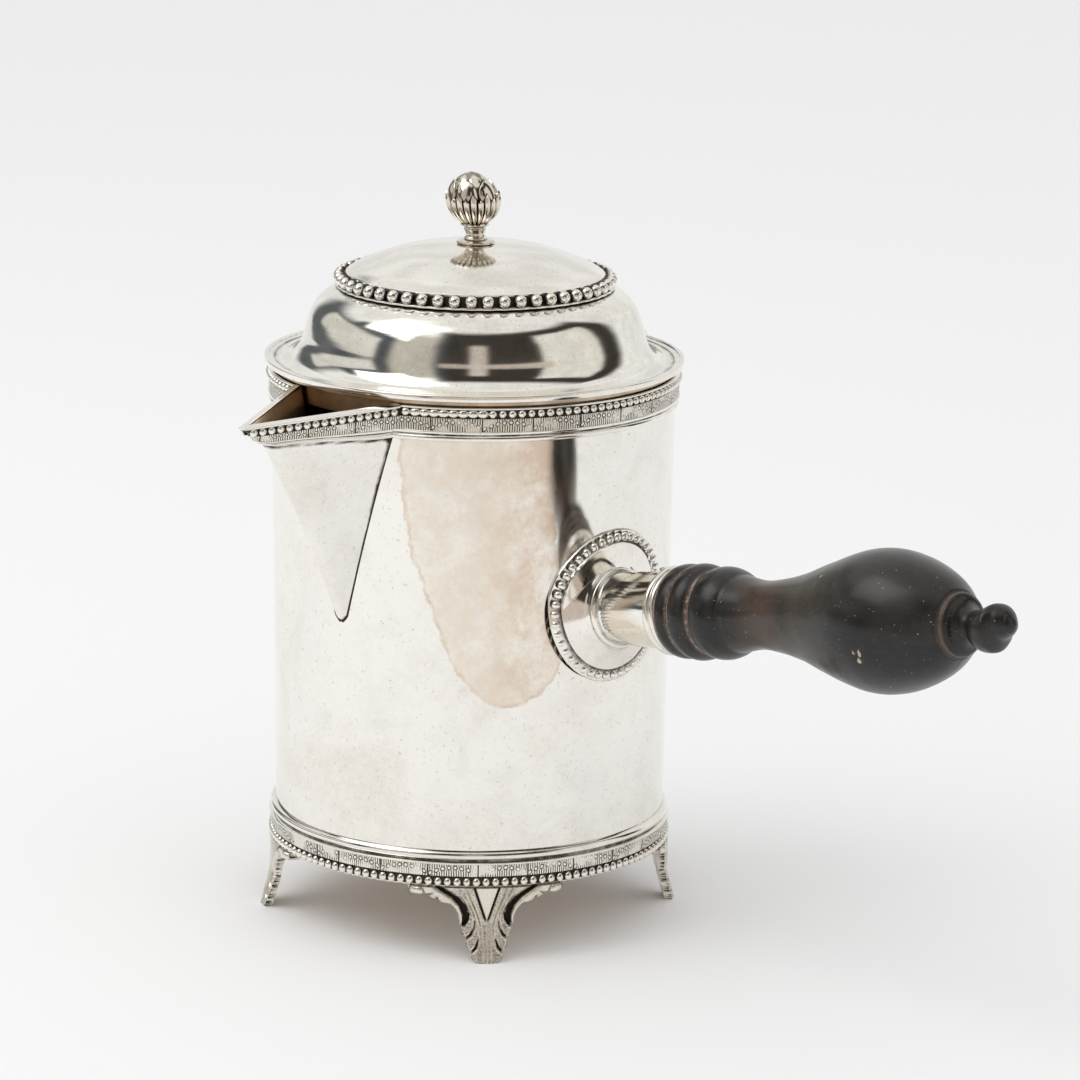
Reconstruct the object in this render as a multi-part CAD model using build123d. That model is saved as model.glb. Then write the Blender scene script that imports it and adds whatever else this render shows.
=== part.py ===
from build123d import *

import os
from math import asin, atan, cos, degrees, pi, radians, sin, sqrt, tan

# A milk jug with a side handle. Its spout points along -Y, its lid is hinged at the back (+Y),
# the table is z = 0, and the handle stands almost a quarter turn from the spout, towards +X.
# All sizes are in millimetres and all angles in degrees.

# Body wall, a can that flares a little towards its mouth
foot_height = 19.3  # table to the underside of the body
wall_height = 124.1  # underside of the body to the top of its wall
base_radius = 50.7  # outside, at the underside
wall_flare = 1.4  # how much wider it is outside, at the top
wall = 1.1
floor_inset = 0.8  # the bottom plate sits this far up inside the wall
floor_thickness = 1.2
floor_rise = 1.6  # height of the shallow swell in the middle of the bottom plate

# Mouldings, drawn as (outset from the wall, height) from their lowest line up
band_foot = [(1.5, 0.0), (1.5, 0.4), (1.1, 0.7), (1.1, 2.9), (1.5, 3.1), (1.5, 6.1), (1.8, 6.3),
             (1.8, 6.7), (0.7, 6.9), (0.7, 7.3)]
band_foot_swell = [(1.3, 7.6), (1.5, 8.4), (1.2, 9.1), (0.2, 9.5)]
band_rim = [(0.5, 1.6), (0.5, 1.9), (1.1, 2.1), (1.1, 2.7), (0.9, 2.8), (0.9, 6.05), (0.5, 6.2)]
band_rim_swell = [(1.0, 0.8)]
band_rim_height = 8.3  # lowest line of the rim moulding to the top of the wall
lip_wire = 0.5  # height of the wire that caps the wall
lip_wire_outset = 1.4

# Bead borders
bead_radius = 1.0
bead_pitch = 2.45
base_bead_height = 1.75  # bead centres above the underside
rim_bead_drop = 1.05  # bead centres below the top of the wall
solder_gap = 0.03  # between pieces that are soldered face to face
lid_bead_radius = 1.5
lid_bead_count = 52
plate_bead_radius = 1.1
plate_bead_count = 42

# Spout, a beak with flat sides and a rounded keel
beak_set_in = 2.8  # its sides start to close in this far inside the body's rim
beak_half_angle = 23.0
beak_depth = 57.8  # top of the wall down to its lowest point, where the keel runs out on the wall
beak_vee_drop = 8.0  # from there down to where its sides would meet
beak_spread = 0.263  # sideways growth of each side for each millimetre up
beak_heel_rise = 1.9  # from the lowest point up to the keel's straight run
beak_chin_nose = 3.7  # keel radius under the rim moulding, where it turns up towards the tip
beak_heel_nose = 0.5
beak_tip_nose = 0.2
lip_fall = 2.3  # the lip's fall from the wall to the tip
spout_wall = 1.1

# Feet, one between the spout and the handle and three more a quarter turn apart
foot_count = 4
foot_turn = 45.0  # from the spout to the first foot
foot_face = [(1.5, 1.0), (1.3, 0.5), (3.9, 0.0)]  # outset from the wall, share of height
foot_back = [(2.3, 0.0), (-0.4, 0.5), (-1.2, 1.0)]
foot_relief = 0.8  # depth of the carving

# Handle plate and socket
handle_turn = 83.0  # from the spout round to the handle, seen from above
handle_height = 90.0  # axis of the handle where it leaves the plate
handle_tilt = 8.9  # the handle rises outwards
plate_radius = 19.5
plate_edge = 0.9
plate_step_radius = 16.3
plate_step = 0.6
plate_cone_radius = 19.0  # foot of the cone that carries the handle, inside the wall
plate_cone_depth = 5.0
boss_radius = 10.6
boss_reach = 2.9  # from the wall to the boss's face
socket_radius = 9.05
socket_wall = 0.9
socket_length = 11.0
collar_radius = 10.2
collar_length = 1.3
ferrule_radius = 9.5
ferrule_end_radius = 9.9
ferrule_length = 23.2  # boss face to the ferrule's open end
ferrule_notch = 9.6  # radius of the fish mouth cut in its inner end
ferrule_start = 8.4  # boss face to the tips of the fish mouth
ferrule_fit = 0.03
wire_radius = 1.0
wire_count = 2
pin_radius = 0.8
pin_place = 17.5  # boss face to the pin
pin_head = 1.3

# Wooden handle, turned in one piece; distances start at the boss face
tenon_radius = 8.6
tenon_start = 11.5
grip_start = 23.4
ring_radius = 11.9
bulb_radius = 17.65
knob_radius = 6.4

# Lid
lid_lift = 1.6  # gap between the top wire and the flange, filled by the bezel's collar
lid_fit = 0.3
flange_overhang = 2.0  # from the body's rim to the edge of the flange
flange_thickness = 1.0
lid_wall = 1.0
shoulder_inset = 10.8  # from the edge of the flange to the shoulder
waist_rise = 7.8  # flange underside to the top of the hollow sweep
belly_rise = 10.2  # flange underside to the foot of the round shoulder
sweep_middle = (2.0, 3.4)  # out from the shoulder and up from the flange underside
flange_flat = 4.6  # from the edge of the flange to the foot of the sweep
shoulder_height = 19.7  # flange underside to the flat on which the dome stands
dome_inset = 9.9  # from the shoulder to the foot of the dome
dome_height = 11.0
dome_skirt = 3.0
dome_wall = 0.9
bead_seat = 2.6  # width of the flat wire on which the dome's beads stand
bezel_gap = 0.7
bezel_wall = 0.9
bezel_depth = 5.0

# Finial
pedestal_radius = 4.95
pedestal_height = 5.2
bud_radius = 7.25
bud_height = 13.2
bud_leaves = 12
stud_radius = 1.5
stud_fit = 0.1
nut_across = 6.0
nut_height = 2.0

# Hinge
hinge_clear = 3.2  # edge of the flange to the hinge pin
hinge_width = 20.0
knuckle_count = 5
knuckle_radius = 1.9
knuckle_gap = 0.2
hinge_pin_radius = 0.8
hinge_pin_fit = 0.04
hinge_leaf = 1.0
hinge_plate_drop = 8.6  # depth of the leaf on the body below the top of its wall

# Places that follow from these sizes
rim_radius = base_radius + wall_flare
beak_root = rim_radius - beak_set_in
flange_radius = rim_radius + flange_overhang
shoulder_radius = flange_radius - shoulder_inset
dome_radius = shoulder_radius - dome_inset
bead_ring_radius = dome_radius + bead_seat
hinge_reach = flange_radius + hinge_clear
body_top = foot_height + wall_height
lip_top = body_top + lip_wire
beak_foot = body_top - beak_depth
beak_vee = beak_foot - beak_vee_drop
beak_heel = beak_foot + beak_heel_rise
beak_chin = body_top - band_rim_height
beak_tip_height = lip_top - lip_fall
flange_base = lip_top + lid_lift
lid_seat = flange_base + shoulder_height
dome_top = lid_seat + dome_height
pin_height = flange_base - 0.2
tan_beak = tan(radians(beak_half_angle))
plate_azimuth = radians(handle_turn - 90)


def wall_radius(z):
    """Outside radius of the body's wall at a height."""
    return base_radius + (rim_radius - base_radius) * (z - foot_height) / wall_height


def turned(*edges):
    """Solid of revolution about Z from edges drawn as (radius, height)."""
    return revolve(Plane.XZ * make_face(list(edges)), Axis.Z)


def cap(radius, low, high):
    """Arc from an edge up to a top on the axis, with its centre on the axis too."""
    rise = high - low
    sphere = (radius**2 + rise**2) / (2 * rise)
    middle = high - sphere + sqrt(sphere**2 - radius**2 / 4)
    return ThreePointArc((radius, low), (radius / 2, middle), (0, high)).edge()


def closed(points):
    """Closed outline through points, as edges."""
    return Polyline(*points, close=True).edges()


def polar(radius, turn, z=0.0):
    """Point at a turn from the spout, counted from above towards the handle."""
    return Vector(radius * sin(radians(turn)), -radius * cos(radians(turn)), z)


def faceted(rings, sides):
    """Convex solid through regular polygons, one for each (radius, height), the last of them a point if need be."""
    points = []
    for radius, height in rings:
        points += [(radius * cos(2 * pi * i / sides), radius * sin(2 * pi * i / sides), height)
                   for i in range(sides if radius else 1)]
    return ConvexPolyhedron(points)


def bead(radius, sides=6):
    """One small bead as a faceted dome whose flat back lies on local z = 0."""
    return faceted([(radius, 0), (radius * 0.76, radius * 0.62), (0, radius)], sides)


def round_bead(radius, sides):
    """One bead as a faceted ball that stands free of its seat, with a small flat back on local z = 0."""
    return faceted([(radius * 0.6, 0), (radius, radius * 0.75), (radius * 0.6, radius * 1.6)], sides)


def bead_row(shape, planes):
    """Copies of one bead, one on each plane."""
    return Compound(children=[plane.location * shape for plane in planes])


# Body


def can(inset, low, high):
    """Solid frustum that follows the wall, inset from its outside."""
    return turned(*closed([(0, low), (wall_radius(low) - inset, low), (wall_radius(high) - inset, high), (0, high)]))


def beak_section(z, outset, nose, reach_in):
    """Horizontal slice of the beak: straight sides that close on a round nose."""
    a = radians(beak_half_angle)
    half = beak_spread * (z - beak_vee) + outset / cos(a)
    apex = beak_root + half / tan_beak
    tangent = nose / tan_beak
    side = (tangent * sin(a), -apex + tangent * cos(a))
    keel = (0, -apex + nose / sin(a) - nose)
    outline = [
        Polyline((-side[0], side[1]), (-half, -beak_root), (-half, -reach_in), (half, -reach_in),
                 (half, -beak_root), side),
        ThreePointArc(side, keel, (-side[0], side[1])),
    ]
    return Plane.XY.offset(z) * make_face([e for line in outline for e in line.edges()])


def beak(outset=0.0, top=4.0):
    """The beak as a solid wedge, with its sides moved outwards by outset."""
    back = beak_root - 7
    least = 0.12
    noses = [(beak_foot, 0.12, 1.4), (beak_heel, beak_heel_nose, 0.0), (beak_chin, beak_chin_nose, 0.0),
             (beak_tip_height, beak_tip_nose, 0.0), (lip_top + top, beak_tip_nose, 0.0)]
    if outset < 0:
        noses = [(beak_heel + 3.2, beak_heel_nose, 0.0)] + noses[2:]
    sections = []
    for z, nose, shrink in noses:
        radius = max(nose + outset, least)
        sections.append(beak_section(z, outset - shrink * cos(radians(beak_half_angle)), radius, back))
    return loft(sections, ruled=True)


def lip_plane(drop):
    """Plane of the spout's lip, or one parallel to it and lower."""
    run = beak_root + beak_spread * (beak_tip_height - beak_vee) / tan_beak - beak_root
    return Plane(origin=(0, -beak_root, lip_top - drop), x_dir=(1, 0, 0), z_dir=(0, -lip_fall / run, 1))


def below(plane):
    """A large block under a plane."""
    return extrude(plane * Rectangle(400, 400), amount=-300)


beak_outer = beak()
beak_inner = beak(outset=-spout_wall)
wall_solid = can(0, foot_height, body_top)

body_shell = wall_solid - can(wall, foot_height - 1, body_top + 1) - beak_inner
floor_base = foot_height + floor_inset
floor_edge = [(wall_radius(z) - wall, z) for z in (floor_base, floor_base + floor_thickness)]
floor_top = floor_base + floor_rise
base_plate = turned(
    Line((0, floor_top), (0, floor_top + floor_thickness)).edge(),
    cap(*floor_edge[1], floor_top + floor_thickness),
    Line(floor_edge[1], floor_edge[0]).edge(),
    cap(*floor_edge[0], floor_top),
)
spout_shell = (beak_outer - beak_inner - can(0, foot_height, body_top + 10)) & below(lip_plane(lip_wire))


# Mouldings on the body


def on_wall(outset, z):
    """Profile point at an outset from the wall."""
    return (wall_radius(z) + outset, z)


def base_moulding():
    """Foot moulding, from the underside up to its swelling top line."""
    straight = [on_wall(o, foot_height + h) for o, h in band_foot]
    swell = [on_wall(o, foot_height + h) for o, h in band_foot_swell]
    return turned(*closed([on_wall(solder_gap, foot_height)] + straight + swell
                          + [on_wall(solder_gap, swell[-1][1])]))


def rim_outline(place):
    """Rim moulding's outline, where place turns (outset, height above the moulding's foot) into a point."""
    top = band_rim_height
    straight = [place(o, h) for o, h in band_rim]
    cap = [place(0.5, top), place(lip_wire_outset, top), place(lip_wire_outset, top + lip_wire),
           place(-wall, top + lip_wire), place(-wall, top), place(solder_gap, top), place(solder_gap, 0),
           place(0.2, 0)]
    return [ThreePointArc(cap[-1], place(*band_rim_swell[0]), straight[0]).edge()] + list(
        Polyline(*straight, *cap).edges())


def rim_place(outset, height):
    """Point of the rim moulding on the wall."""
    return on_wall(outset, body_top - band_rim_height + height)


rim_ring = turned(*rim_outline(rim_place))
base_band = base_moulding()
rim_band = rim_ring - beak_outer

# The spout's mouldings lie on its flat sides, so they are drawn across the lip and drawn out along it
side_normal = Vector(1, -tan_beak, -beak_spread).normalized()
lip_line = side_normal.cross(lip_plane(0).z_dir).normalized()
lip_line = lip_line * (-1 if lip_line.Y > 0 else 1)
lip_corner = Vector(beak_spread * (lip_top - beak_vee), -beak_root, lip_top)
lip_run = lip_corner.X / -lip_line.X
side_plane = Plane(origin=lip_corner, x_dir=side_normal, z_dir=lip_line)


def strip_place(outset, height):
    """Point of the rim moulding across the spout's lip."""
    return (outset, height - band_rim_height - lip_wire)


strip = extrude(side_plane.offset(-6) * make_face(rim_outline(strip_place)), amount=lip_run + 12)
strip_end = beak(outset=lip_wire_outset)
right_half = Pos(100, 0, body_top) * Box(200, 400, 200)
spout_band_right = (strip & strip_end & right_half) - rim_ring - can(0, foot_height, lip_top + 10)
spout_band_left = mirror(spout_band_right, about=Plane.YZ)

# Bead borders
base_bead_z = foot_height + base_bead_height
rim_bead_z = body_top - rim_bead_drop
base_bead_radius = wall_radius(base_bead_z) + band_foot[3][0] + solder_gap
rim_bead_radius = wall_radius(rim_bead_z) + band_rim[-1][0] + solder_gap


def border_planes(radius, z, start, end):
    """Planes for beads round the body, evenly spaced between two turns from the spout."""
    count = round(radians(end - start) * radius / bead_pitch)
    turns = [start + (end - start) * (i + 0.5) / count for i in range(count)]
    return [Plane(origin=polar(radius, t, z), x_dir=(0, 0, 1), z_dir=polar(1, t)) for t in turns]


border_bead = bead(bead_radius)
spout_edge = degrees(asin((lip_corner.X + 0.2) / rim_bead_radius))
hinge_edge = degrees(asin((hinge_width / 2 + 0.4) / rim_bead_radius))
base_beads = bead_row(border_bead, border_planes(base_bead_radius, base_bead_z, 0, 360))
rim_beads = bead_row(border_bead, border_planes(rim_bead_radius, rim_bead_z, spout_edge, 180 - hinge_edge)
                     + border_planes(rim_bead_radius, rim_bead_z, 180 + hinge_edge, 360 - spout_edge))


def lip_planes():
    """Planes for the beads along one side of the spout."""
    first, last = 4.0, lip_run - 1.6
    count = round((last - first) / bead_pitch)
    up = side_plane.y_dir
    places = [first + (last - first) * (i + 0.5) / count for i in range(count)]
    base = lip_corner + side_normal * (band_rim[-1][0] + solder_gap) - up * (lip_wire + rim_bead_drop)
    return [Plane(origin=base + lip_line * s, x_dir=lip_line, z_dir=side_normal) for s in places]


spout_beads_right = bead_row(border_bead, lip_planes())
spout_beads_left = mirror(spout_beads_right, about=Plane.YZ)


# Feet


def foot_outline():
    """Right half of a foot, from the front: a scrolled arm, a waist and three leaf tips, mirrored."""
    top = foot_height
    half = [
        Polyline((0, 0), (0, top), (18.6, top)),
        ThreePointArc((18.6, top), (19.7, top - 0.8), (18.2, top - 1.6)),
        ThreePointArc((18.2, top - 1.6), (16.4, top - 1.8), (14.6, top - 1.3)),
        ThreePointArc((14.6, top - 1.3), (14.6, top - 2.4), (12.9, top - 2.9)),
        ThreePointArc((12.9, top - 2.9), (12.2, top - 3.7), (10.4, top - 3.8)),
        ThreePointArc((10.4, top - 3.8), (8.0, 13.4), (7.0, 9.6)),
        Line((7.0, 9.6), (6.2, 9.3)),
        ThreePointArc((6.2, 9.3), (6.3, 7.6), (4.9, 6.3)),
        ThreePointArc((4.9, 6.3), (5.2, 4.3), (3.8, 2.8)),
        ThreePointArc((3.8, 2.8), (3.8, 1.1), (2.6, 0)),
        Line((2.6, 0), (0, 0)),
    ]
    return make_face([e for line in half for e in line.edges()])


def foot_pockets():
    """Outlines of the carving: the hollows inside both arms and the V round the plain panel."""
    top = foot_height
    hollow = Polyline((7.6, top), (13.6, top), (9.3, 17.0), (6.6, 14.6), (5.7, 12.2), (6.0, 9.7), (4.5, 12.2),
                      (5.4, 16.7), close=True)
    groove = Polyline((2.8, top), (3.6, top), (0.35, 9.8), (-0.35, 9.8), (-3.6, top), (-2.8, top), (0, 10.8),
                      close=True)
    hollow = make_face(hollow.edges())
    return [hollow, mirror(hollow, about=Plane.YZ), make_face(groove.edges())]


def foot_skin(shift, thickness):
    """Turned skin that follows the foot's front, from shift in to shift plus thickness out."""
    front = [(base_radius + o - shift, foot_height * h) for o, h in foot_face]
    back = [(r + thickness, z) for r, z in reversed(front)]
    return turned(*closed(front + back))


def make_foot():
    """A cast foot that points along -Y: its outline cut from a turned, splayed slab, then carved."""
    front = [(base_radius + o, foot_height * h) for o, h in foot_face]
    back = [(base_radius + o, foot_height * h) for o, h in foot_back]
    slab = turned(*closed(front + back))
    facing = Plane(origin=(0, 0, 0), x_dir=(1, 0, 0), z_dir=(0, -1, 0))
    half = foot_outline()
    outline = extrude(facing * (half + mirror(half, about=Plane.YZ)), amount=100)
    foot = outline & slab
    skin = foot_skin(foot_relief, foot_relief + 3)
    for face in foot_pockets():
        foot -= extrude(facing * face, amount=100) & skin
    return foot


foot = make_foot()
foot_names = ["foot_front_right", "foot_back_right", "foot_back_left", "foot_front_left"]
feet = {name: Rot(0, 0, foot_turn + i * 360 / foot_count) * foot for i, name in enumerate(foot_names)}

# Handle plate, which is bent to the wall
plate_z = handle_height + 0.3
wall_at_plate = wall_radius(plate_z)
plate_out = Vector(cos(plate_azimuth), sin(plate_azimuth), 0)
plate_side = Vector(-sin(plate_azimuth), cos(plate_azimuth), 0)
plate_plane = Plane(origin=(0, 0, plate_z), x_dir=plate_side, z_dir=plate_out)
handle_dir = plate_out * cos(radians(handle_tilt)) + Vector(0, 0, sin(radians(handle_tilt)))
handle_seat = plate_out * (wall_at_plate + boss_reach) + Vector(0, 0, handle_height)
handle_plane = Plane(origin=handle_seat, x_dir=plate_side, z_dir=handle_dir)
wall_clear = can(0, foot_height, body_top)


def bent_disc(radius, thickness):
    """A disc that lies on the wall, with its edge square to the plate's axis."""
    outer = can(-thickness, foot_height, body_top)
    return extrude(plate_plane * Circle(radius), amount=100) & outer


cone_foot = plate_plane.offset(wall_at_plate - plate_cone_depth)
plate_cone = loft([cone_foot * Circle(plate_cone_radius), handle_plane * Circle(boss_radius)], ruled=True)
above_boss = extrude(handle_plane * Circle(boss_radius), amount=10)
escutcheon = bent_disc(plate_radius, plate_edge) + bent_disc(plate_step_radius, plate_edge + plate_step)
escutcheon = escutcheon + plate_cone - wall_clear - above_boss


def plate_planes():
    """Planes for the beads on the handle plate, square to its bent face."""
    ring = (plate_radius + plate_step_radius) / 2
    planes = []
    for i in range(plate_bead_count):
        across = ring * cos(2 * pi * i / plate_bead_count)
        z = plate_z + ring * sin(2 * pi * i / plate_bead_count)
        radius = wall_radius(z) + plate_edge + solder_gap
        turn = handle_turn + degrees(asin(across / radius))
        planes.append(Plane(origin=polar(radius, turn, z), x_dir=(0, 0, 1), z_dir=polar(1, turn)))
    return planes


escutcheon_beads = bead_row(round_bead(plate_bead_radius, 5), plate_planes())


# Socket, ferrule and wooden handle, turned about the handle's axis


def handle_turned(edges):
    """Solid of revolution about the handle's axis, from edges drawn as (radius, distance from the boss)."""
    return handle_plane.location * revolve(Plane.XZ * make_face(edges), Axis.Z)


handle_socket = handle_turned(closed([
    (socket_radius - socket_wall, 0), (collar_radius, 0), (collar_radius, collar_length * 0.7),
    (socket_radius + 0.3, collar_length), (socket_radius, collar_length + 0.4), (socket_radius, socket_length),
    (socket_radius - socket_wall, socket_length)]))
notch_centre = ferrule_start - ferrule_notch
notch_plane = Plane(origin=handle_plane.origin + handle_dir * notch_centre, x_dir=handle_dir,
                    z_dir=handle_plane.y_dir)
fish_mouth = extrude(notch_plane * Circle(ferrule_notch), amount=30, both=True)
wire_start = ferrule_length - wire_radius * 2 * wire_count
ferrule_low = collar_length + 0.5
handle_ferrule = handle_turned(closed([
    (socket_radius + ferrule_fit, ferrule_low), (ferrule_radius, ferrule_low), (ferrule_end_radius, wire_start),
    (ferrule_end_radius, ferrule_length), (tenon_radius + ferrule_fit, ferrule_length),
    (tenon_radius + ferrule_fit, socket_length + 0.1), (socket_radius + ferrule_fit, socket_length + 0.1)]))
handle_ferrule = handle_ferrule - fish_mouth
pin_plane = Plane(origin=handle_plane.origin + handle_dir * pin_place, x_dir=handle_dir, z_dir=handle_plane.y_dir)
pin_hole = extrude(pin_plane * Circle(pin_radius + ferrule_fit), amount=30)
handle_ferrule = handle_ferrule - pin_hole
wires = []
for i in range(wire_count):
    low = wire_start + 2 * wire_radius * i
    wires.append(handle_turned(closed([
        (ferrule_end_radius, low), (ferrule_end_radius + wire_radius, low + 0.3),
        (ferrule_end_radius + wire_radius * 1.4, low + wire_radius),
        (ferrule_end_radius + wire_radius, low + 2 * wire_radius - 0.3),
        (ferrule_end_radius, low + 2 * wire_radius)])))
ferrule_wires = Compound(children=wires)
pin_top = ferrule_radius + 0.8
handle_pin = pin_plane.location * (
    Pos(0, 0, pin_top - 5) * Cylinder(pin_radius, 10) + Pos(0, 0, pin_top + 0.3) * Cylinder(pin_head, 0.6))

grip = grip_start
handle_profile = [
    *Polyline((0, tenon_start), (tenon_radius, tenon_start), (tenon_radius, grip), (ring_radius - 0.4, grip)).edges(),
    ThreePointArc((ring_radius - 0.4, grip), (ring_radius, grip + 2.2), (ring_radius - 0.4, grip + 4.3)).edge(),
    *Polyline((ring_radius - 0.4, grip + 4.3), (ring_radius - 0.9, grip + 4.5),
              (ring_radius - 0.3, grip + 4.7)).edges(),
    ThreePointArc((ring_radius - 0.3, grip + 4.7), (ring_radius + 0.2, grip + 7.6),
                  (ring_radius - 0.9, grip + 10.2)).edge(),
    *Polyline((ring_radius - 0.9, grip + 10.2), (ring_radius - 1.5, grip + 10.8),
              (ring_radius - 1.1, grip + 11.4)).edges(),
    ThreePointArc((ring_radius - 1.1, grip + 11.4), (ring_radius - 0.3, grip + 14.4),
                  (9.7, grip + 20.4)).edge(),
    Spline((9.7, grip + 20.4), (8.55, grip + 28.0), (9.3, grip + 36.2), (11.1, grip + 44.4),
           (13.7, grip + 52.3), (15.9, grip + 59.4), (bulb_radius, grip + 69.6), (15.4, grip + 81.0),
           (11.6, grip + 88.2), (8.3, grip + 91.8)).edge(),
    *Polyline((8.3, grip + 91.8), (7.8, grip + 91.8), (7.8, grip + 93.2), (6.9, grip + 93.9)).edges(),
    ThreePointArc((6.9, grip + 93.9), (5.4, grip + 94.4), (3.9, grip + 96.6)).edge(),
    ThreePointArc((3.9, grip + 96.6), (knob_radius, grip + 102.2), (3.2, grip + 107.6)).edge(),
    cap(3.2, grip + 107.6, grip + 108.8),
    Line((0, grip + 108.8), (0, tenon_start)).edge(),
]
wood_handle = handle_turned(handle_profile) - pin_hole

# Lid: a flange with a raised edge, a hollow sweep up to a round shoulder, and a flat for the dome
edge_rise = 0.5
waist = (shoulder_radius, flange_base + waist_rise)
belly = (shoulder_radius, flange_base + belly_rise)
inner_belly = (shoulder_radius - lid_wall, flange_base + belly_rise - 0.2)
sweep_foot = (flange_radius - flange_flat, flange_base + flange_thickness - 0.2)
shoulder_top = (bead_ring_radius - 1.2, lid_seat)
inner_top = (bead_ring_radius - 1.6, lid_seat - lid_wall)
flange_top = flange_base + flange_thickness
lid_shoulder = turned(
    *Polyline((dome_radius - 2.4, lid_seat - lid_wall), (dome_radius - 2.4, lid_seat), shoulder_top).edges(),
    ThreePointArc(shoulder_top, (shoulder_radius - 2.7, lid_seat - 4.3), belly).edge(),
    Line(belly, waist).edge(),
    ThreePointArc(waist, (shoulder_radius + sweep_middle[0], flange_base + sweep_middle[1]), sweep_foot).edge(),
    *Polyline(sweep_foot, (flange_radius - 2.6, flange_top - 0.2),
              (flange_radius - 2.5, flange_top), (flange_radius - 1.1, flange_top),
              (flange_radius - 0.9, flange_top + edge_rise), (flange_radius, flange_top + edge_rise),
              (flange_radius, flange_base), (flange_radius - 5.8, flange_base)).edges(),
    ThreePointArc((flange_radius - 5.8, flange_base), (shoulder_radius + 1.1, flange_base + 3.0),
                  (inner_belly[0], waist[1])).edge(),
    Line((inner_belly[0], waist[1]), inner_belly).edge(),
    ThreePointArc(inner_belly, (shoulder_radius - 3.8, lid_seat - 4.8), inner_top).edge(),
    Line(inner_top, (dome_radius - 2.4, lid_seat - lid_wall)).edge(),
)


def dome_arc(inset):
    """The dome's sweep from its skirt to its top, inset from the outside."""
    points = [(dome_radius - inset, lid_seat + dome_skirt - inset * 0.3)]
    for share, height in [(0.81, 0.37), (0.58, 0.76)]:
        points.append((dome_radius * share - inset * 0.3, lid_seat + dome_skirt - inset * 0.9
                       + (dome_height - dome_skirt) * height))
    return Spline(*points, (0, dome_top - inset), tangents=[(-0.75, 1), (-1, 0)])


stud_hole = Cylinder(stud_radius + stud_fit, 60)
outer_arc = dome_arc(0)
inner_arc = dome_arc(dome_wall)
lid_dome = turned(
    Line((dome_radius, lid_seat), outer_arc @ 0).edge(), outer_arc.edge(), Line(outer_arc @ 1, inner_arc @ 1).edge(),
    inner_arc.edge(), Line(inner_arc @ 0, (dome_radius - dome_wall, lid_seat)).edge(),
    Line((dome_radius - dome_wall, lid_seat), (dome_radius, lid_seat)).edge(),
) - Pos(0, 0, dome_top) * stud_hole & below(Plane.XY.offset(dome_top))
lid_bead_wire = turned(*closed([
    (dome_radius, lid_seat), (bead_ring_radius, lid_seat), (bead_ring_radius, lid_seat + 0.5),
    (dome_radius + 0.5, lid_seat + 0.8), (dome_radius + 0.5, lid_seat + dome_skirt - 0.1),
    (dome_radius, lid_seat + dome_skirt + 0.1)]))


def lid_bead_planes():
    """Planes for the lid's beads, which stand on the foot of their wire."""
    planes = []
    for i in range(lid_bead_count):
        turn = 360 * (i + 0.5) / lid_bead_count
        origin = polar(dome_radius + 0.5 + solder_gap, turn, lid_seat + 0.85 + lid_bead_radius)
        planes.append(Plane(origin=origin, x_dir=(0, 0, 1), z_dir=polar(1, turn)))
    return planes


lid_beads = bead_row(round_bead(lid_bead_radius, 6), lid_bead_planes())
skirt_radius = rim_radius - wall - bezel_gap
lid_bezel = turned(*closed([
    (skirt_radius - bezel_wall, lip_top + lid_fit - bezel_depth), (skirt_radius, lip_top + lid_fit - bezel_depth),
    (skirt_radius, lip_top + lid_fit), (rim_radius, lip_top + lid_fit), (rim_radius, flange_base),
    (skirt_radius - bezel_wall, flange_base)]))

# Finial
ped = dome_top
bud_base = ped + pedestal_height
finial_pedestal = turned(
    *closed([(0, ped), (pedestal_radius, ped), (pedestal_radius, ped + 0.5), (3.9, ped + 0.9), (3.3, ped + 1.8),
             (3.0, ped + 3.0), (3.3, ped + 4.3), (3.9, bud_base), (0, bud_base)])
) - Pos(0, 0, ped) * Cylinder(stud_radius + stud_fit, 6)
finial_bud = turned(
    ThreePointArc((3.9, bud_base), (6.2, bud_base + 2.7), (bud_radius, bud_base + 6.2)).edge(),
    ThreePointArc((bud_radius, bud_base + 6.2), (6.4, bud_base + 9.4), (4.4, bud_base + 12.4)).edge(),
    cap(4.4, bud_base + 12.4, bud_base + bud_height),
    *Polyline((0, bud_base + bud_height), (0, bud_base), (3.9, bud_base)).edges(),
)
leaf_gap = Plane.XZ * make_face(closed([(bud_radius + 2, bud_base + 1.2), (bud_radius - 1.5, bud_base + 2.2),
                                        (bud_radius - 0.7, bud_base + 6.0), (bud_radius + 2, bud_base + 9.0)]))
leaf_cut = extrude(leaf_gap, amount=0.25, both=True)
for i in range(bud_leaves):
    finial_bud -= Rot(0, 0, 360 * i / bud_leaves) * leaf_cut
stud_top = ped + 2.6
stud_base = ped - dome_wall - nut_height - 1.2
finial_stud = Pos(0, 0, (stud_top + stud_base) / 2) * Cylinder(stud_radius, stud_top - stud_base)
nut_plane = Plane.XY.offset(ped - dome_wall - nut_height - 0.25)
nut_outline = RegularPolygon(nut_across / 2, 6, major_radius=False) - Circle(stud_radius + stud_fit / 4)
finial_nut = extrude(nut_plane * nut_outline, amount=nut_height)

# Hinge
knuckle_length = (hinge_width - knuckle_gap * (knuckle_count - 1)) / knuckle_count


def knuckles(first):
    """Every second knuckle along the pin, starting with the first or second, without its bore."""
    step = knuckle_length + knuckle_gap
    start = -hinge_width / 2 + knuckle_length / 2
    turn = Pos(0, hinge_reach, pin_height) * Rot(0, 90, 0)
    return [Pos(start + step * i, 0, 0) * turn * Cylinder(knuckle_radius, knuckle_length)
            for i in range(first, knuckle_count, 2)]


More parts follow.
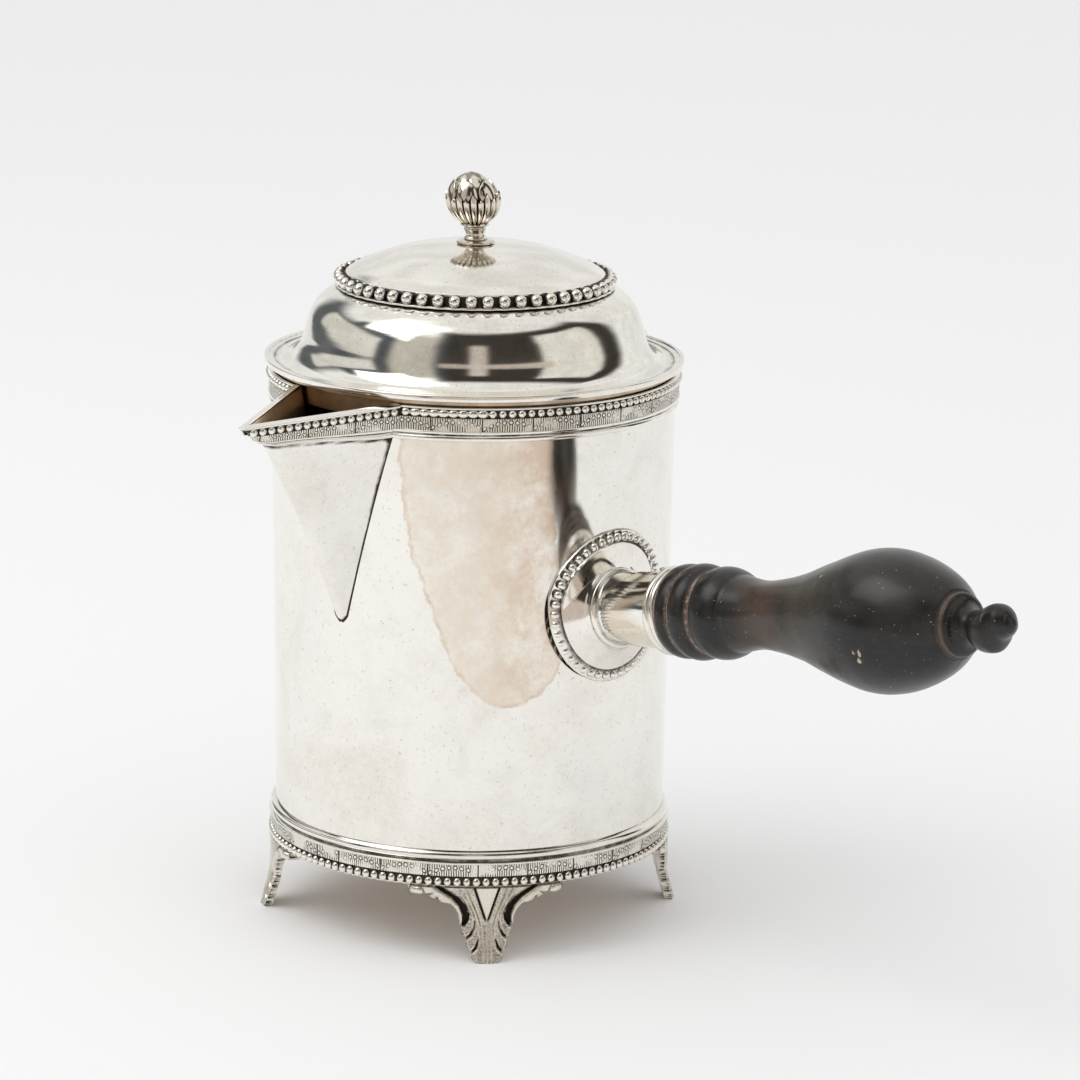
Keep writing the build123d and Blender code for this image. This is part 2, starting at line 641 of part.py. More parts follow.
def knuckle_slots(first, radius):
    """Room for the other leaf's knuckles."""
    step = knuckle_length + knuckle_gap
    start = -hinge_width / 2 + knuckle_length / 2
    turn = Pos(0, hinge_reach, pin_height) * Rot(0, 90, 0)
    return [Pos(start + step * i, 0, 0) * turn * Cylinder(radius, knuckle_length + 2 * knuckle_gap)
            for i in range(first, knuckle_count, 2)]


pin_bore = Pos(0, hinge_reach, pin_height) * Rot(0, 90, 0) * Cylinder(hinge_pin_radius + hinge_pin_fit, 60)
ridge = wall_radius(body_top) + band_rim[2][0]
leaf_low = body_top - hinge_plate_drop + 2.0
hinge_body_leaf = extrude(
    Plane.YZ * make_face(closed([
        (ridge - 3, leaf_low), (ridge + hinge_leaf, leaf_low), (ridge + hinge_leaf + 0.4, body_top - 4.4),
        (hinge_reach, pin_height - knuckle_radius), (hinge_reach, pin_height),
        (hinge_reach - knuckle_radius, pin_height), (ridge + 0.5, body_top - 1.0), (ridge - 3, body_top - 1.0)])),
    amount=hinge_width / 2, both=True)
hinge_body_leaf = hinge_body_leaf - turned(*closed([(0, leaf_low - 1), (ridge, leaf_low - 1), (ridge, body_top + 1),
                                                    (0, body_top + 1)]))
hinge_body_leaf = hinge_body_leaf - knuckle_slots(1, knuckle_radius + 0.35)
hinge_body_leaf = hinge_body_leaf + knuckles(0) - pin_bore
plate_low = flange_top + edge_rise
hinge_lid_leaf = extrude(
    Plane.YZ * make_face(closed([
        (flange_radius - 6.5, plate_low), (hinge_reach, plate_low), (hinge_reach, plate_low + 0.4),
        (flange_radius, plate_low + hinge_leaf), (flange_radius - 6.5, plate_low + hinge_leaf)])),
    amount=hinge_width / 2, both=True)
hinge_lid_leaf = hinge_lid_leaf - knuckle_slots(0, knuckle_radius + 0.35)
hinge_lid_leaf = hinge_lid_leaf + knuckles(1) - pin_bore
hinge_pin = Pos(0, hinge_reach, pin_height) * Rot(0, 90, 0) * Cylinder(hinge_pin_radius, hinge_width + 0.6)
for side in (-1, 1):
    end = Pos(side * (hinge_width / 2 + 0.55), hinge_reach, pin_height) * Rot(0, 90, 0)
    hinge_pin += end * Cylinder(hinge_pin_radius + 0.6, 0.5)

nodes = {
    "body_shell": body_shell,
    "base_plate": base_plate,
    "base_band": base_band,
    "base_beads": base_beads,
    "rim_band": rim_band,
    "rim_beads": rim_beads,
    "spout_shell": spout_shell,
    "spout_band_right": spout_band_right,
    "spout_band_left": spout_band_left,
    "spout_beads_right": spout_beads_right,
    "spout_beads_left": spout_beads_left,
    **feet,
    "escutcheon": escutcheon,
    "escutcheon_beads": escutcheon_beads,
    "handle_socket": handle_socket,
    "handle_ferrule": handle_ferrule,
    "ferrule_wires": ferrule_wires,
    "handle_pin": handle_pin,
    "wood_handle": wood_handle,
    "lid_shoulder": lid_shoulder,
    "lid_dome": lid_dome,
    "lid_bead_wire": lid_bead_wire,
    "lid_beads": lid_beads,
    "lid_bezel": lid_bezel,
    "finial_pedestal": finial_pedestal,
    "finial_bud": finial_bud,
    "finial_stud": finial_stud,
    "finial_nut": finial_nut,
    "hinge_body_leaf": hinge_body_leaf,
    "hinge_lid_leaf": hinge_lid_leaf,
    "hinge_pin": hinge_pin,
}

os.makedirs("parts", exist_ok=True)
for name, shape in nodes.items():
    export_step(shape, os.path.join("parts", name + ".step"))
    print(name, len(shape.solids()), round(shape.volume, 2))
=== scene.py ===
"""A silver milk jug with a hinged lid and a turned wooden side handle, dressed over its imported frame.

Every surface is a grid of points worked out with numpy in millimetres, in the row frame: the spout
points along -Y, the hinge is on +Y and the table is z = 0. A "turn" is an angle counted from the spout
round towards the handle, seen from above.
"""

import logging
import math
from dataclasses import dataclass, field
from enum import Enum

import bmesh
import bpy
import numpy as np
from mathutils import Matrix, Vector


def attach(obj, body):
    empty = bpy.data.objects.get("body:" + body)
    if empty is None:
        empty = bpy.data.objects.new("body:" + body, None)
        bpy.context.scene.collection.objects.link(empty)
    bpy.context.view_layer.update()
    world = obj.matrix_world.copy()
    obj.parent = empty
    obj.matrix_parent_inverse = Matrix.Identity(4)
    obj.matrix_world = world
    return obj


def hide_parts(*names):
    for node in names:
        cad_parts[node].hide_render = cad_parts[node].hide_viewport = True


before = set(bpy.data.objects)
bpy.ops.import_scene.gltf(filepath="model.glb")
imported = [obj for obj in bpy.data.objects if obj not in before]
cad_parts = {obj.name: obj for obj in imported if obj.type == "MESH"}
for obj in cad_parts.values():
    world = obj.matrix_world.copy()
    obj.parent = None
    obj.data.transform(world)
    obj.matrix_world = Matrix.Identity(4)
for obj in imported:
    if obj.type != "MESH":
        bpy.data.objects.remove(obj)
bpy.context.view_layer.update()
LOG = logging.getLogger("milk_jug")
MM = 0.001
Array = np.ndarray
Material = bpy.types.Material
Socket = bpy.types.NodeSocket

# Shape tools


def arc(start: tuple, middle: tuple, end: tuple, count: int = 24) -> Array:
    """Points along the circle arc through three points.

    Formula: the centre is where the two chords' perpendicular bisectors meet; the points are the centre
    plus the radius turned evenly from the start's angle to the end's, the way that passes the middle.

    Args:
        start: first point, (radius, height).
        middle: a point that the arc passes through.
        end: last point.
        count: how many points.

    Returns:
        An array of shape (count, 2).
    """
    a, b, c = (np.asarray(p, float) for p in (start, middle, end))
    ab, ac = b - a, c - a
    d = 2 * (ab[0] * ac[1] - ab[1] * ac[0])
    centre = a + np.array([ac[1] * (ab @ ab) - ab[1] * (ac @ ac), ab[0] * (ac @ ac) - ac[0] * (ab @ ab)]) / d
    first, mid, last = (math.atan2(p[1] - centre[1], p[0] - centre[0]) for p in (a, b, c))
    sweep = (last - first) % math.tau
    if (mid - first) % math.tau > sweep:
        sweep -= math.tau
    angle = first + sweep * np.linspace(0, 1, count)
    return centre + np.linalg.norm(a - centre) * np.stack([np.cos(angle), np.sin(angle)], 1)


def flow(points: list, count: int = 60) -> Array:
    """A smooth line through points.

    Formula: cubic Hermite pieces over the summed chord length, with each point's slope taken from its
    two neighbours.

    Args:
        points: the points, in order.
        count: how many points come back.

    Returns:
        An array of shape (count, dimensions).
    """
    p = np.asarray(points, float)
    s = np.concatenate([[0], np.cumsum(np.linalg.norm(np.diff(p, axis=0), axis=1))])
    m = np.gradient(p, s, axis=0)
    t = np.linspace(0, s[-1], count)
    i = np.clip(np.searchsorted(s, t, "right") - 1, 0, len(s) - 2)
    h = (s[i + 1] - s[i])[:, None]
    u = (t - s[i])[:, None] / h
    return ((2 * u**3 - 3 * u**2 + 1) * p[i] + (u**3 - 2 * u**2 + u) * h * m[i]
            + (3 * u**2 - 2 * u**3) * p[i + 1] + (u**3 - u**2) * h * m[i + 1])


def eased(points: Array, radius: float, steps: int = 4, closed: bool = True) -> Array:
    """A polygon with its corners rounded.

    Formula: each corner gives way to a quadratic curve that leaves one side and joins the other at the
    radius, or at 0.4 of the shorter side, and bends towards the corner.

    Args:
        points: corners, shape (n, 2).
        radius: how far from the corner the curve starts.
        steps: points on each curve.
        closed: whether the last corner joins the first.

    Returns:
        An array of points, shape (n * steps, 2).
    """
    p = np.asarray(points, float)
    back, on = np.roll(p, 1, axis=0) - p, np.roll(p, -1, axis=0) - p
    lb, lo = np.linalg.norm(back, axis=1)[:, None], np.linalg.norm(on, axis=1)[:, None]
    cut = np.minimum(radius, 0.4 * np.minimum(lb, lo))
    if not closed:
        cut[0] = cut[-1] = 0
    a, b = p + back / lb * cut, p + on / lo * cut
    t = np.linspace(0, 1, steps)[None, :, None]
    return ((1 - t) ** 2 * a[:, None] + 2 * t * (1 - t) * p[:, None] + t**2 * b[:, None]).reshape(-1, 2)


def step(low: float, high: float, x: Array) -> Array:
    """A smooth rise from 0 at low to 1 at high."""
    t = np.clip((x - low) / (high - low), 0, 1)
    return t * t * (3 - 2 * t)


def bump(x: Array, centre: float, width: float) -> Array:
    """A bell of height 1 round a centre."""
    return np.exp(-(((x - centre) / width) ** 2))


def ripple(x: Array, y: Array, seed: float, reach: float) -> Array:
    """An uneven surface between about -1 and 1.

    Formula: the mean of five sine waves that run in different directions, with lengths near the reach.

    Args:
        x: places one way.
        y: places the other way.
        seed: picks the directions and where the waves start.
        reach: length of the longest waves, in the places' unit.

    Returns:
        The height at each place.
    """
    k = np.arange(5)
    turn = seed * 1.7 + k * 2.4
    rate = (0.6 + 0.35 * k) / reach
    waves = [np.sin(rate[i] * (x * math.cos(turn[i]) + y * math.sin(turn[i])) * math.tau + seed * (i + 1))
             for i in k]
    return np.mean(waves, axis=0) * 1.6


def spread_mean(height: Array, reach: int) -> Array:
    """Mean of a grid over a square window, with edge values carried on.

    Args:
        height: the grid.
        reach: cells that the window takes in on each side.

    Returns:
        The means, as large as the grid.
    """
    out = height
    width = 2 * reach + 1
    for axis in (0, 1):
        pad = [(0, 0), (0, 0)]
        pad[axis] = (reach, reach)
        total = np.cumsum(np.insert(np.pad(out, pad, mode="edge"), 0, 0, axis=axis), axis=axis)
        size = total.shape[axis]
        out = (np.take(total, range(width, size), axis) - np.take(total, range(size - width), axis)) / width
    return out


def near(x: Array, z: Array, line: list) -> tuple:
    """Distance from each place to a bent line, and how far along the line its nearest point lies.

    Formula: each place is dropped square on every stretch of the line, kept within its ends, and the
    nearest of these feet counts.

    Args:
        x: places, sideways.
        z: places, upwards.
        line: the line's points.

    Returns:
        The distance, and the share of the line's length from 0 to 1.
    """
    p = np.asarray(line, float)
    run = np.diff(p, axis=0)
    size = np.linalg.norm(run, axis=1)
    dx, dz = x[..., None] - p[:-1, 0], z[..., None] - p[:-1, 1]
    t = np.clip((dx * run[:, 0] + dz * run[:, 1]) / size**2, 0, 1)
    gap = np.hypot(dx - t * run[:, 0], dz - t * run[:, 1])
    best = gap.argmin(-1)[..., None]
    start = np.concatenate([[0], np.cumsum(size)[:-1]])
    share = (start[best] + np.take_along_axis(t, best, -1) * size[best]) / size.sum()
    return np.take_along_axis(gap, best, -1)[..., 0], share[..., 0]


def around(radius: Array, turn: Array, height: Array) -> Array:
    """Points at a radius, a turn in radians from the spout, and a height."""
    radius, turn, height = np.broadcast_arrays(radius, turn, height)
    return np.stack([radius * np.sin(turn), -radius * np.cos(turn), height], -1)


@dataclass
class Skin:
    """A grid of points, or many alike, with the values that a finish reads at them.

    The points run (copies, rows, columns, 3) in millimetres, and a surface faces outwards where rows
    times columns turn as (up, round) do on an upright cylinder.
    """

    points: Array
    along: Array | None = None
    across: Array | None = None
    # painted shade in hollows, creases and bead seats; also the real dark solder seams, and real chips on
    # the wood
    grime: Array | float = 0.0
    band: Array | float = 0.0
    inside_out: bool = False
    slot: int = 0

    def __post_init__(self) -> None:
        """Gives every grid the same (copies, rows, columns) form."""
        if self.points.ndim == 3:
            self.points = self.points[None]
        shape = self.points.shape[:3]
        zero = np.zeros(shape)
        self.along = zero if self.along is None else np.broadcast_to(self.along, shape)
        self.across = zero if self.across is None else np.broadcast_to(self.across, shape)
        self.grime = np.broadcast_to(self.grime, shape)
        self.band = np.broadcast_to(self.band, shape)

    def quads(self, first: int) -> Array:
        """Corner numbers of the grid's quads.

        Args:
            first: number of the skin's first point in its mesh.

        Returns:
            An array of shape (quads, 4).
        """
        copies, rows, cols = self.points.shape[:3]
        n = np.arange(rows * cols).reshape(rows, cols)
        quad = np.stack([n[:-1, :-1], n[:-1, 1:], n[1:, 1:], n[1:, :-1]], -1).reshape(-1, 4)
        if self.inside_out:
            quad = quad[:, ::-1]
        return (quad[None] + (first + np.arange(copies) * rows * cols)[:, None, None]).reshape(-1, 4)


def lathe(profile: Array, steps: int = 256, **values: object) -> Skin:
    """Skin of a profile turned about the axis.

    Formula: a profile point at (radius, height) becomes the circle of that radius at that height. Along
    is the length round the circle, and across the length along the profile, both in millimetres.

    Args:
        profile: (radius, height) points, up the outside.
        steps: columns round the circle.
        **values: the shade value (painted shade, with real solder seams and wood chips), band and slot, as
                  Skin takes them; the shade value and band may be one value a point.

    Returns:
        The skin.
    """
    profile = np.asarray(profile, float)
    turn = np.linspace(0, math.tau, steps + 1)[None]
    radius, height = profile[:, :1], profile[:, 1:]
    length = np.insert(np.cumsum(np.linalg.norm(np.diff(profile, axis=0), axis=1)), 0, 0)
    for name in ("grime", "band"):
        if isinstance(values.get(name), np.ndarray):
            values[name] = values[name][:, None]
    along = turn * max(radius.max(), 1.0)
    return Skin(around(radius, turn, height), along=along, across=length[:, None], **values)


def loop(points: Array) -> Array:
    """An outline with its first point added at its end."""
    return np.concatenate([points, points[:1]])


def balls(centres: Array, outward: Array, up: Array, radius: float,
          squash: Array | float = 1.0, stretch: Array | float = 1.0, tall: float = 1.0,
          depth: float = 105.0) -> Skin:
    """Many beads, each a ball cut off behind.

    Formula: a point on a ball at an angle off its outward pole and an angle round it. Stretch widens it
    along its row and squash flattens it outwards. Its painted shade rises towards its seat.

    Args:
        centres: bead centres, (n, 3) in millimetres.
        outward: unit vectors away from the seat.
        up: unit vectors across the row.
        radius: bead radius.
        squash: outward scale of each.
        stretch: scale of each along its row.
        tall: scale across the row.
        depth: how far behind its pole each reaches, in degrees.

    Returns:
        One skin for all the beads.
    """
    each = (len(centres), 1, 1, 1)
    tilt = np.radians(np.linspace(0, depth, 6))[:, None]
    spin = np.linspace(0, math.tau, 11)[None]
    side = np.cross(up, outward)[:, None, None] * np.broadcast_to(stretch, each[:1]).reshape(each)
    out = outward[:, None, None] * np.broadcast_to(squash, each[:1]).reshape(each)
    local = np.stack(np.broadcast_arrays(np.sin(tilt) * np.cos(spin), np.sin(tilt) * np.sin(spin),
                                         np.cos(tilt)), -1)
    points = centres[:, None, None] + radius * (
        local[..., :1] * side + local[..., 1:2] * up[:, None, None] * tall + local[..., 2:] * out)
    # Painted shade: each bead darkens towards its seat on the surface.
    grime = np.broadcast_to(step(62, 96, np.degrees(tilt)), points.shape[1:3])
    return Skin(points, grime=grime[None], inside_out=True)


def weave(name: str, skins: list, finishes: list, body: str, node: str, crease: float = 38.0,
          lids: tuple = ()) -> bpy.types.Object:
    """One piece of the jug from its skins.

    Args:
        name: the piece's name.
        skins: the skins that make it up; their slot picks the finish.
        finishes: Blender materials.
        body: the CAD body that it rides on.
        node: the CAD node that it stands for.
        crease: faces that meet at more than this many degrees keep a hard edge.
        lids: outlines, each an (n, 3) array in millimetres, that are filled with one flat face.

    Returns:
        The object, at the origin, with its place in its mesh.
    """
    points, quads, slots, values = [], [], [], {"along": [], "across": [], "grime": [], "band": []}
    first = 0
    for skin in skins:
        points.append(skin.points.reshape(-1, 3))
        quads.append(skin.quads(first))
        slots.append(np.full(len(quads[-1]), skin.slot))
        for key, rows in values.items():
            rows.append(np.asarray(getattr(skin, key), float).reshape(-1))
        first += len(points[-1])
    caps = []
    for rim in lids:
        caps.append(list(range(first, first + len(rim))))
        points.append(rim)
        for rows in values.values():
            rows.append(np.zeros(len(rim)))
        first += len(rim)
    corners, quads = np.concatenate(points), np.concatenate(quads)
    values = {key: np.concatenate(rows) for key, rows in values.items()}
    area = np.linalg.norm(np.cross(corners[quads[:, 2]] - corners[quads[:, 0]],
                                   corners[quads[:, 3]] - corners[quads[:, 1]]), axis=1)
    keep = area > 1e-9
    mesh = bpy.data.meshes.new(name)
    mesh.from_pydata((corners * MM).tolist(), [], quads[keep].tolist() + caps)
    where = np.zeros(len(mesh.loops), np.int32)
    mesh.loops.foreach_get("vertex_index", where)
    lay = np.stack([values["along"][where], values["across"][where]], 1)
    mesh.uv_layers.new(name="lay").data.foreach_set("uv", lay.ravel())
    for key in ("grime", "band"):
        mesh.attributes.new(key, "FLOAT", "POINT").data.foreach_set("value", values[key].astype(np.float32))
    for finish in finishes:
        mesh.materials.append(finish)
    picks = np.concatenate([np.concatenate(slots)[keep], np.zeros(len(caps), int)])
    mesh.polygons.foreach_set("material_index", picks.astype(np.int32))
    seal(mesh)
    mesh.polygons.foreach_set("use_smooth", np.ones(len(mesh.polygons), bool))
    mesh.set_sharp_from_angle(angle=math.radians(crease))
    piece = bpy.data.objects.new(name, mesh)
    bpy.context.scene.collection.objects.link(piece)
    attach(piece, body)
    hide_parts(node)
    LOG.info("%s: %d faces", name, len(mesh.polygons))
    return piece


def seal(mesh: bpy.types.Mesh) -> None:
    """Joins the points that lie on one another, so that seams and poles close.

    Args:
        mesh: the mesh, which is changed.
    """
    work = bmesh.new()
    work.from_mesh(mesh)
    bmesh.ops.remove_doubles(work, verts=work.verts, dist=2e-7)
    bmesh.ops.dissolve_degenerate(work, edges=work.edges, dist=1e-8)
    work.to_mesh(mesh)
    work.free()


# Finishes


class Desk:
    """Lays out the nodes of one material, or of the world."""

    def __init__(self, owner: bpy.types.ID) -> None:
        """Starts an empty layout.

        Args:
            owner: the material or the world that it belongs to.
        """
        self.owner = owner
        owner.use_nodes = True
        self.tree = owner.node_tree
        self.tree.nodes.clear()
        self.place = self.add("ShaderNodeTexCoord").outputs["Object"]

    def add(self, kind: str, **settings: object) -> bpy.types.Node:
        """Adds one node.

        Args:
            kind: Blender's name for its type.
            **settings: properties to set on it.

        Returns:
            The node.
        """
        node = self.tree.nodes.new(kind)
        for key, value in settings.items():
            setattr(node, key, value)
        return node

    def feed(self, socket: Socket, value: object) -> None:
        """Fills one socket.

        Args:
            socket: the socket.
            value: another node's output, which is linked, or a number or colour, which is set.
        """
        if isinstance(value, Socket):
            self.tree.links.new(value, socket)
        else:
            socket.default_value = value

    def reckon(self, kind: str, *values: object) -> Socket:
        """Works out one Math node.

        Args:
            kind: its operation.
            *values: its numbers, plain or from other nodes.

        Returns:
            The result.
        """
        node = self.add("ShaderNodeMath", operation=kind)
        for socket, value in zip(node.inputs, values):
            self.feed(socket, value)
        return node.outputs[0]

    def plus(self, a: object, b: object) -> Socket:
        """Two numbers added."""
        return self.reckon("ADD", a, b)

    def minus(self, a: object, b: object) -> Socket:
        """The first number less the second."""
        return self.reckon("SUBTRACT", a, b)

    def times(self, a: object, b: object) -> Socket:
        """Two numbers multiplied."""
        return self.reckon("MULTIPLY", a, b)

    def over(self, a: object, b: object) -> Socket:
        """The first number divided by the second."""
        return self.reckon("DIVIDE", a, b)

    def size(self, value: object) -> Socket:
        """A number without its sign."""
        return self.reckon("ABSOLUTE", value)

    def hypot(self, a: object, b: object) -> Socket:
        """Length of the long side over two square sides."""
        return self.reckon("SQRT", self.plus(self.times(a, a), self.times(b, b)))

    def sway(self, value: object, reach: float) -> Socket:
        """A share between 0 and 1 as a swing of that reach to both sides of 0."""
        return self.times(self.minus(value, 0.5), reach)

    def noise(self, scale: float, detail: float = 4.0, rough: float = 0.55, place: object = None,
              warp: float = 0.0) -> Socket:
        """Cloudy noise.

        Args:
            scale: cells in a metre.
            detail: how many finer layers it has.
            rough: how strong the finer layers are.
            place: where it is read, or None for the object's own place.
            warp: how far it is bent by itself.

        Returns:
            A value between 0 and 1.
        """
        node = self.add("ShaderNodeTexNoise")
        self.feed(node.inputs["Vector"], place or self.place)
        for key, value in (("Scale", scale), ("Detail", detail), ("Roughness", rough), ("Distortion", warp)):
            node.inputs[key].default_value = value
        return node.outputs["Fac"]

    def ramp(self, value: object, *stops: tuple) -> Socket:
        """Reads a value through stops.

        Args:
            value: the value.
            *stops: pairs of a place and the grey there.

        Returns:
            The grey at the value.
        """
        node = self.add("ShaderNodeValToRGB")
        self.feed(node.inputs[0], value)
        line = node.color_ramp.elements
        while len(line) < len(stops):
            line.new(0.5)
        for element, (place, grey) in zip(line, stops):
            element.position = place
            element.color = (grey, grey, grey, 1)
        return node.outputs[0]

    def mix(self, share: object, a: object, b: object, kind: str = "MIX") -> Socket:
        """Mixes two colours.

        Args:
            share: 0 for the first and 1 for the second.
            a: first colour, plain or from another node.
            b: second colour.
            kind: how they mix.

        Returns:
            The mixed colour.
        """
        node = self.add("ShaderNodeMix", data_type="RGBA", blend_type=kind)
        self.feed(node.inputs[0], share)
        self.feed(node.inputs[6], (*a, 1) if isinstance(a, tuple) else a)
        self.feed(node.inputs[7], (*b, 1) if isinstance(b, tuple) else b)
        return node.outputs[2]

    def span(self, value: object, low: float, high: float) -> Socket:
        """A soft rise.

        Args:
            value: the value.
            low: where the rise starts, at 0.
            high: where it ends, at 1; it may be less than low.

        Returns:
            The share between 0 and 1.
        """
        node = self.add("ShaderNodeMapRange", interpolation_type="SMOOTHSTEP")
        self.feed(node.inputs[0], value)
        node.inputs[1].default_value, node.inputs[2].default_value = low, high
        return node.outputs[0]

    def mark(self, name: str) -> Socket:
        """A value stored on the mesh."""
        return self.add("ShaderNodeAttribute", attribute_name=name).outputs["Fac"]

    def relief(self, height: object, depth: float, normal: object = None,
               strength: float = 1.0) -> Socket:
        """Bumps a surface.

        Args:
            height: the bump's height, from 0 to 1.
            depth: how deep that is, in metres.
            normal: the normal so far, or None for the mesh's own.
            strength: share of the bump that shows.

        Returns:
            The bumped normal.
        """
        node = self.add("ShaderNodeBump")
        node.inputs["Strength"].default_value = strength
        node.inputs["Distance"].default_value = depth
        self.feed(node.inputs["Height"], height)
        if normal is not None:
            self.feed(node.inputs["Normal"], normal)
        return node.outputs[0]

    def parts(self, vector: object) -> tuple:
        """The three numbers of a vector.

        Args:
            vector: the vector.

        Returns:
            Its x, y and z.
        """
        node = self.add("ShaderNodeSeparateXYZ")
        self.feed(node.inputs[0], vector)
        return tuple(node.outputs)

    def close(self, **values: object) -> Material:
        """Ends the layout in a Principled shader.

        Args:
            **values: what its sockets take, with _ for a space in a socket's name.

        Returns:
            The material.
        """
        shader = self.add("ShaderNodeBsdfPrincipled")
        for key, value in values.items():
            self.feed(shader.inputs[key.replace("_", " ")], value)
        self.tree.links.new(shader.outputs[0], self.add("ShaderNodeOutputMaterial").inputs[0])
        return self.owner


class Mark(Enum):
    """What is worked or left on a silver surface besides its tarnish."""

    PLAIN = "plain"
    TIDE = "tide"
    BAND = "band"
    MATTED = "matted"


@dataclass(frozen=True)
class Silver:
    """Polished silver with warm tarnish and fine scratches, and painted shade that darkens its hollows."""

    name: str
    mark: Mark = Mark.PLAIN
    metal: tuple = (0.925, 0.905, 0.855)
    tarnish: tuple = (0.83, 0.75, 0.63)
    # the dark colour of the painted shade in hollows and creases
    deep: tuple = (0.055, 0.045, 0.036)
    tarnish_share: float = 0.5
    roughness: float = 0.1
    wave: float = 0.45
    turned: bool = False
    repeat: float = 12.9
    arch_top: float = 5.15
    arch_drop: float = 1.75
    star_pitch: float = 1.62
    stroke_pitch: float = 0.62

    def tide(self, desk: Desk) -> Socket:
        """The stain that ran down from the rim.

        Formula: at each height the stain has a middle turn and a half width in degrees, which move and
        narrow downwards, and under 84 mm it closes in half an ellipse; noise shifts its edge.

        Args:
            desk: the material's layout.

        Returns:
            The distance outside the stain's edge, in metres.
        """
        x, y, z = desk.parts(desk.place)
        turn = desk.times(desk.reckon("ARCTAN2", x, desk.times(y, -1.0)), math.degrees(1))
        fall = desk.span(z, 0.118, 0.072)
        middle = desk.plus(desk.times(fall, 8.5), 41.5)
        half = desk.minus(21.4, desk.times(fall, 4.9))
        across = desk.over(desk.size(desk.minus(turn, middle)), half)
        low = desk.over(desk.reckon("MAXIMUM", desk.minus(0.084, z), 0.0), 0.0172)
        wander = desk.sway(desk.noise(58, 8, 0.72), 0.0075)
        return desk.plus(desk.times(desk.minus(desk.hypot(across, low), 1.0), 0.0155), wander)

    def pattern(self, desk: Desk) -> tuple:
        """The worked border: an arch of small stars in each repeat, with upright strokes above and below.

        Formula: along the border, a parabola in each repeat says where the stars run. Nearer than about
        0.6 mm to it the height is a row of round stars, elsewhere strokes that are cut in, and a thin
        joint closes each repeat. Lengths are in millimetres.

        Args:
            desk: the material's layout.

        Returns:
            The height between 0 and 1, and a share that is 1 on the border.
        """
        u, v, _ = desk.parts(desk.add("ShaderNodeUVMap", uv_map="lay").outputs[0])
        u = desk.plus(u, desk.sway(desk.noise(260, 3, 0.6), 0.5))
        cell = desk.reckon("MODULO", desk.plus(u, 100 * self.repeat), self.repeat)
        off = desk.over(desk.minus(cell, 6.9), self.repeat / 2)
        above = desk.minus(v, desk.minus(self.arch_top, desk.times(desk.times(off, off), self.arch_drop)))
        hop = desk.minus(desk.reckon("MODULO", cell, self.star_pitch), self.star_pitch / 2)
        star = desk.plus(desk.hypot(hop, above), desk.times(desk.noise(1500, 2), 0.3))
        star = desk.ramp(star, (0.50, 1.0), (0.60, 0.0), (0.74, 0.0), (0.86, 0.8))
        stroke = desk.reckon("SINE", desk.times(u, math.tau / self.stroke_pitch))
        stroke = desk.ramp(desk.plus(desk.times(stroke, 0.5), 0.5), (0.2, 0.0), (0.5, 1.0))
        height = desk.mix(desk.ramp(desk.size(above), (0.58, 1.0), (0.68, 0.0)), stroke, star)
        blank = desk.ramp(desk.noise(190, 3, 0.5), (0.54, 0.0), (0.64, 0.85))
        height = desk.mix(blank, height, (0.95, 0.95, 0.95))
        joint = desk.ramp(desk.size(desk.minus(cell, 0.2)), (0.12, 1.0), (0.22, 0.0))
        height = desk.mix(joint, height, (0.0, 0.0, 0.0))
        return height, desk.ramp(desk.mark("band"), (0.7, 0.0), (0.95, 1.0))

    def build(self) -> Material:
        """Lays out tarnish in clouds and specks, painted shade in hollows and creases from a value on the
        mesh, and soft waves.

        Returns:
            The material.
        """
        desk = Desk(bpy.data.materials.new(self.name))
        cloud = desk.noise(34, 7, 0.62, warp=0.4)
        fine = desk.noise(210, 6, 0.7)
        cover = desk.plus(desk.times(cloud, 0.62), desk.times(fine, 0.38))
        share = desk.times(desk.ramp(cover, (0.46, 0.0), (0.66, 1.0)), self.tarnish_share)
        colour = desk.mix(share, self.metal, self.tarnish)
        grey = desk.ramp(desk.noise(75, 5, 0.6, warp=1.2), (0.5, 0.0), (0.72, 0.35))
        colour = desk.mix(grey, colour, (0.74, 0.735, 0.69))
        specks = desk.ramp(desk.noise(1150, 3, 0.6), (0.62, 0.0), (0.73, 0.6))
        colour = desk.mix(specks, colour, (0.45, 0.37, 0.29))
        grit = desk.ramp(desk.noise(700, 6, 0.85), (0.40, 0.0), (0.62, 0.34))
        grit = desk.times(grit, desk.ramp(cloud, (0.42, 0.2), (0.6, 1.0)))
        colour = desk.mix(grit, colour, (0.66, 0.62, 0.53))
        rough = desk.plus(desk.times(share, 0.16), self.roughness)
        normal = desk.relief(desk.noise(22, 2, 0.5), 0.0011 * self.wave, strength=0.5)
        height = desk.plus(desk.times(desk.noise(3600, 3, 0.7), 0.5), desk.times(fine, 0.5))
        normal = desk.relief(height, 0.00002, normal, 0.5)
        if self.mark is Mark.TIDE:
            colour, rough = self.stained(desk, fine, colour, rough)
        if self.mark is Mark.BAND:
            worked, border = self.pattern(desk)
            colour = desk.mix(border, colour, desk.mix(worked, (0.035, 0.03, 0.024), (0.92, 0.88, 0.79)))
            rough = desk.plus(rough, desk.times(border, 0.25))
            normal = desk.relief(desk.times(worked, border), 0.00012, normal, 0.7)
        if self.mark is Mark.MATTED:
            grain = desk.noise(2600, 4, 0.75)
            normal = desk.relief(grain, 0.0001, normal, 0.5)
            stipple = desk.times(desk.mark("band"), desk.ramp(grain, (0.38, 0.85), (0.56, 0.0)))
            colour = desk.mix(stipple, colour, (0.20, 0.16, 0.12))
            rough = desk.plus(rough, desk.times(desk.mark("band"), 0.16))
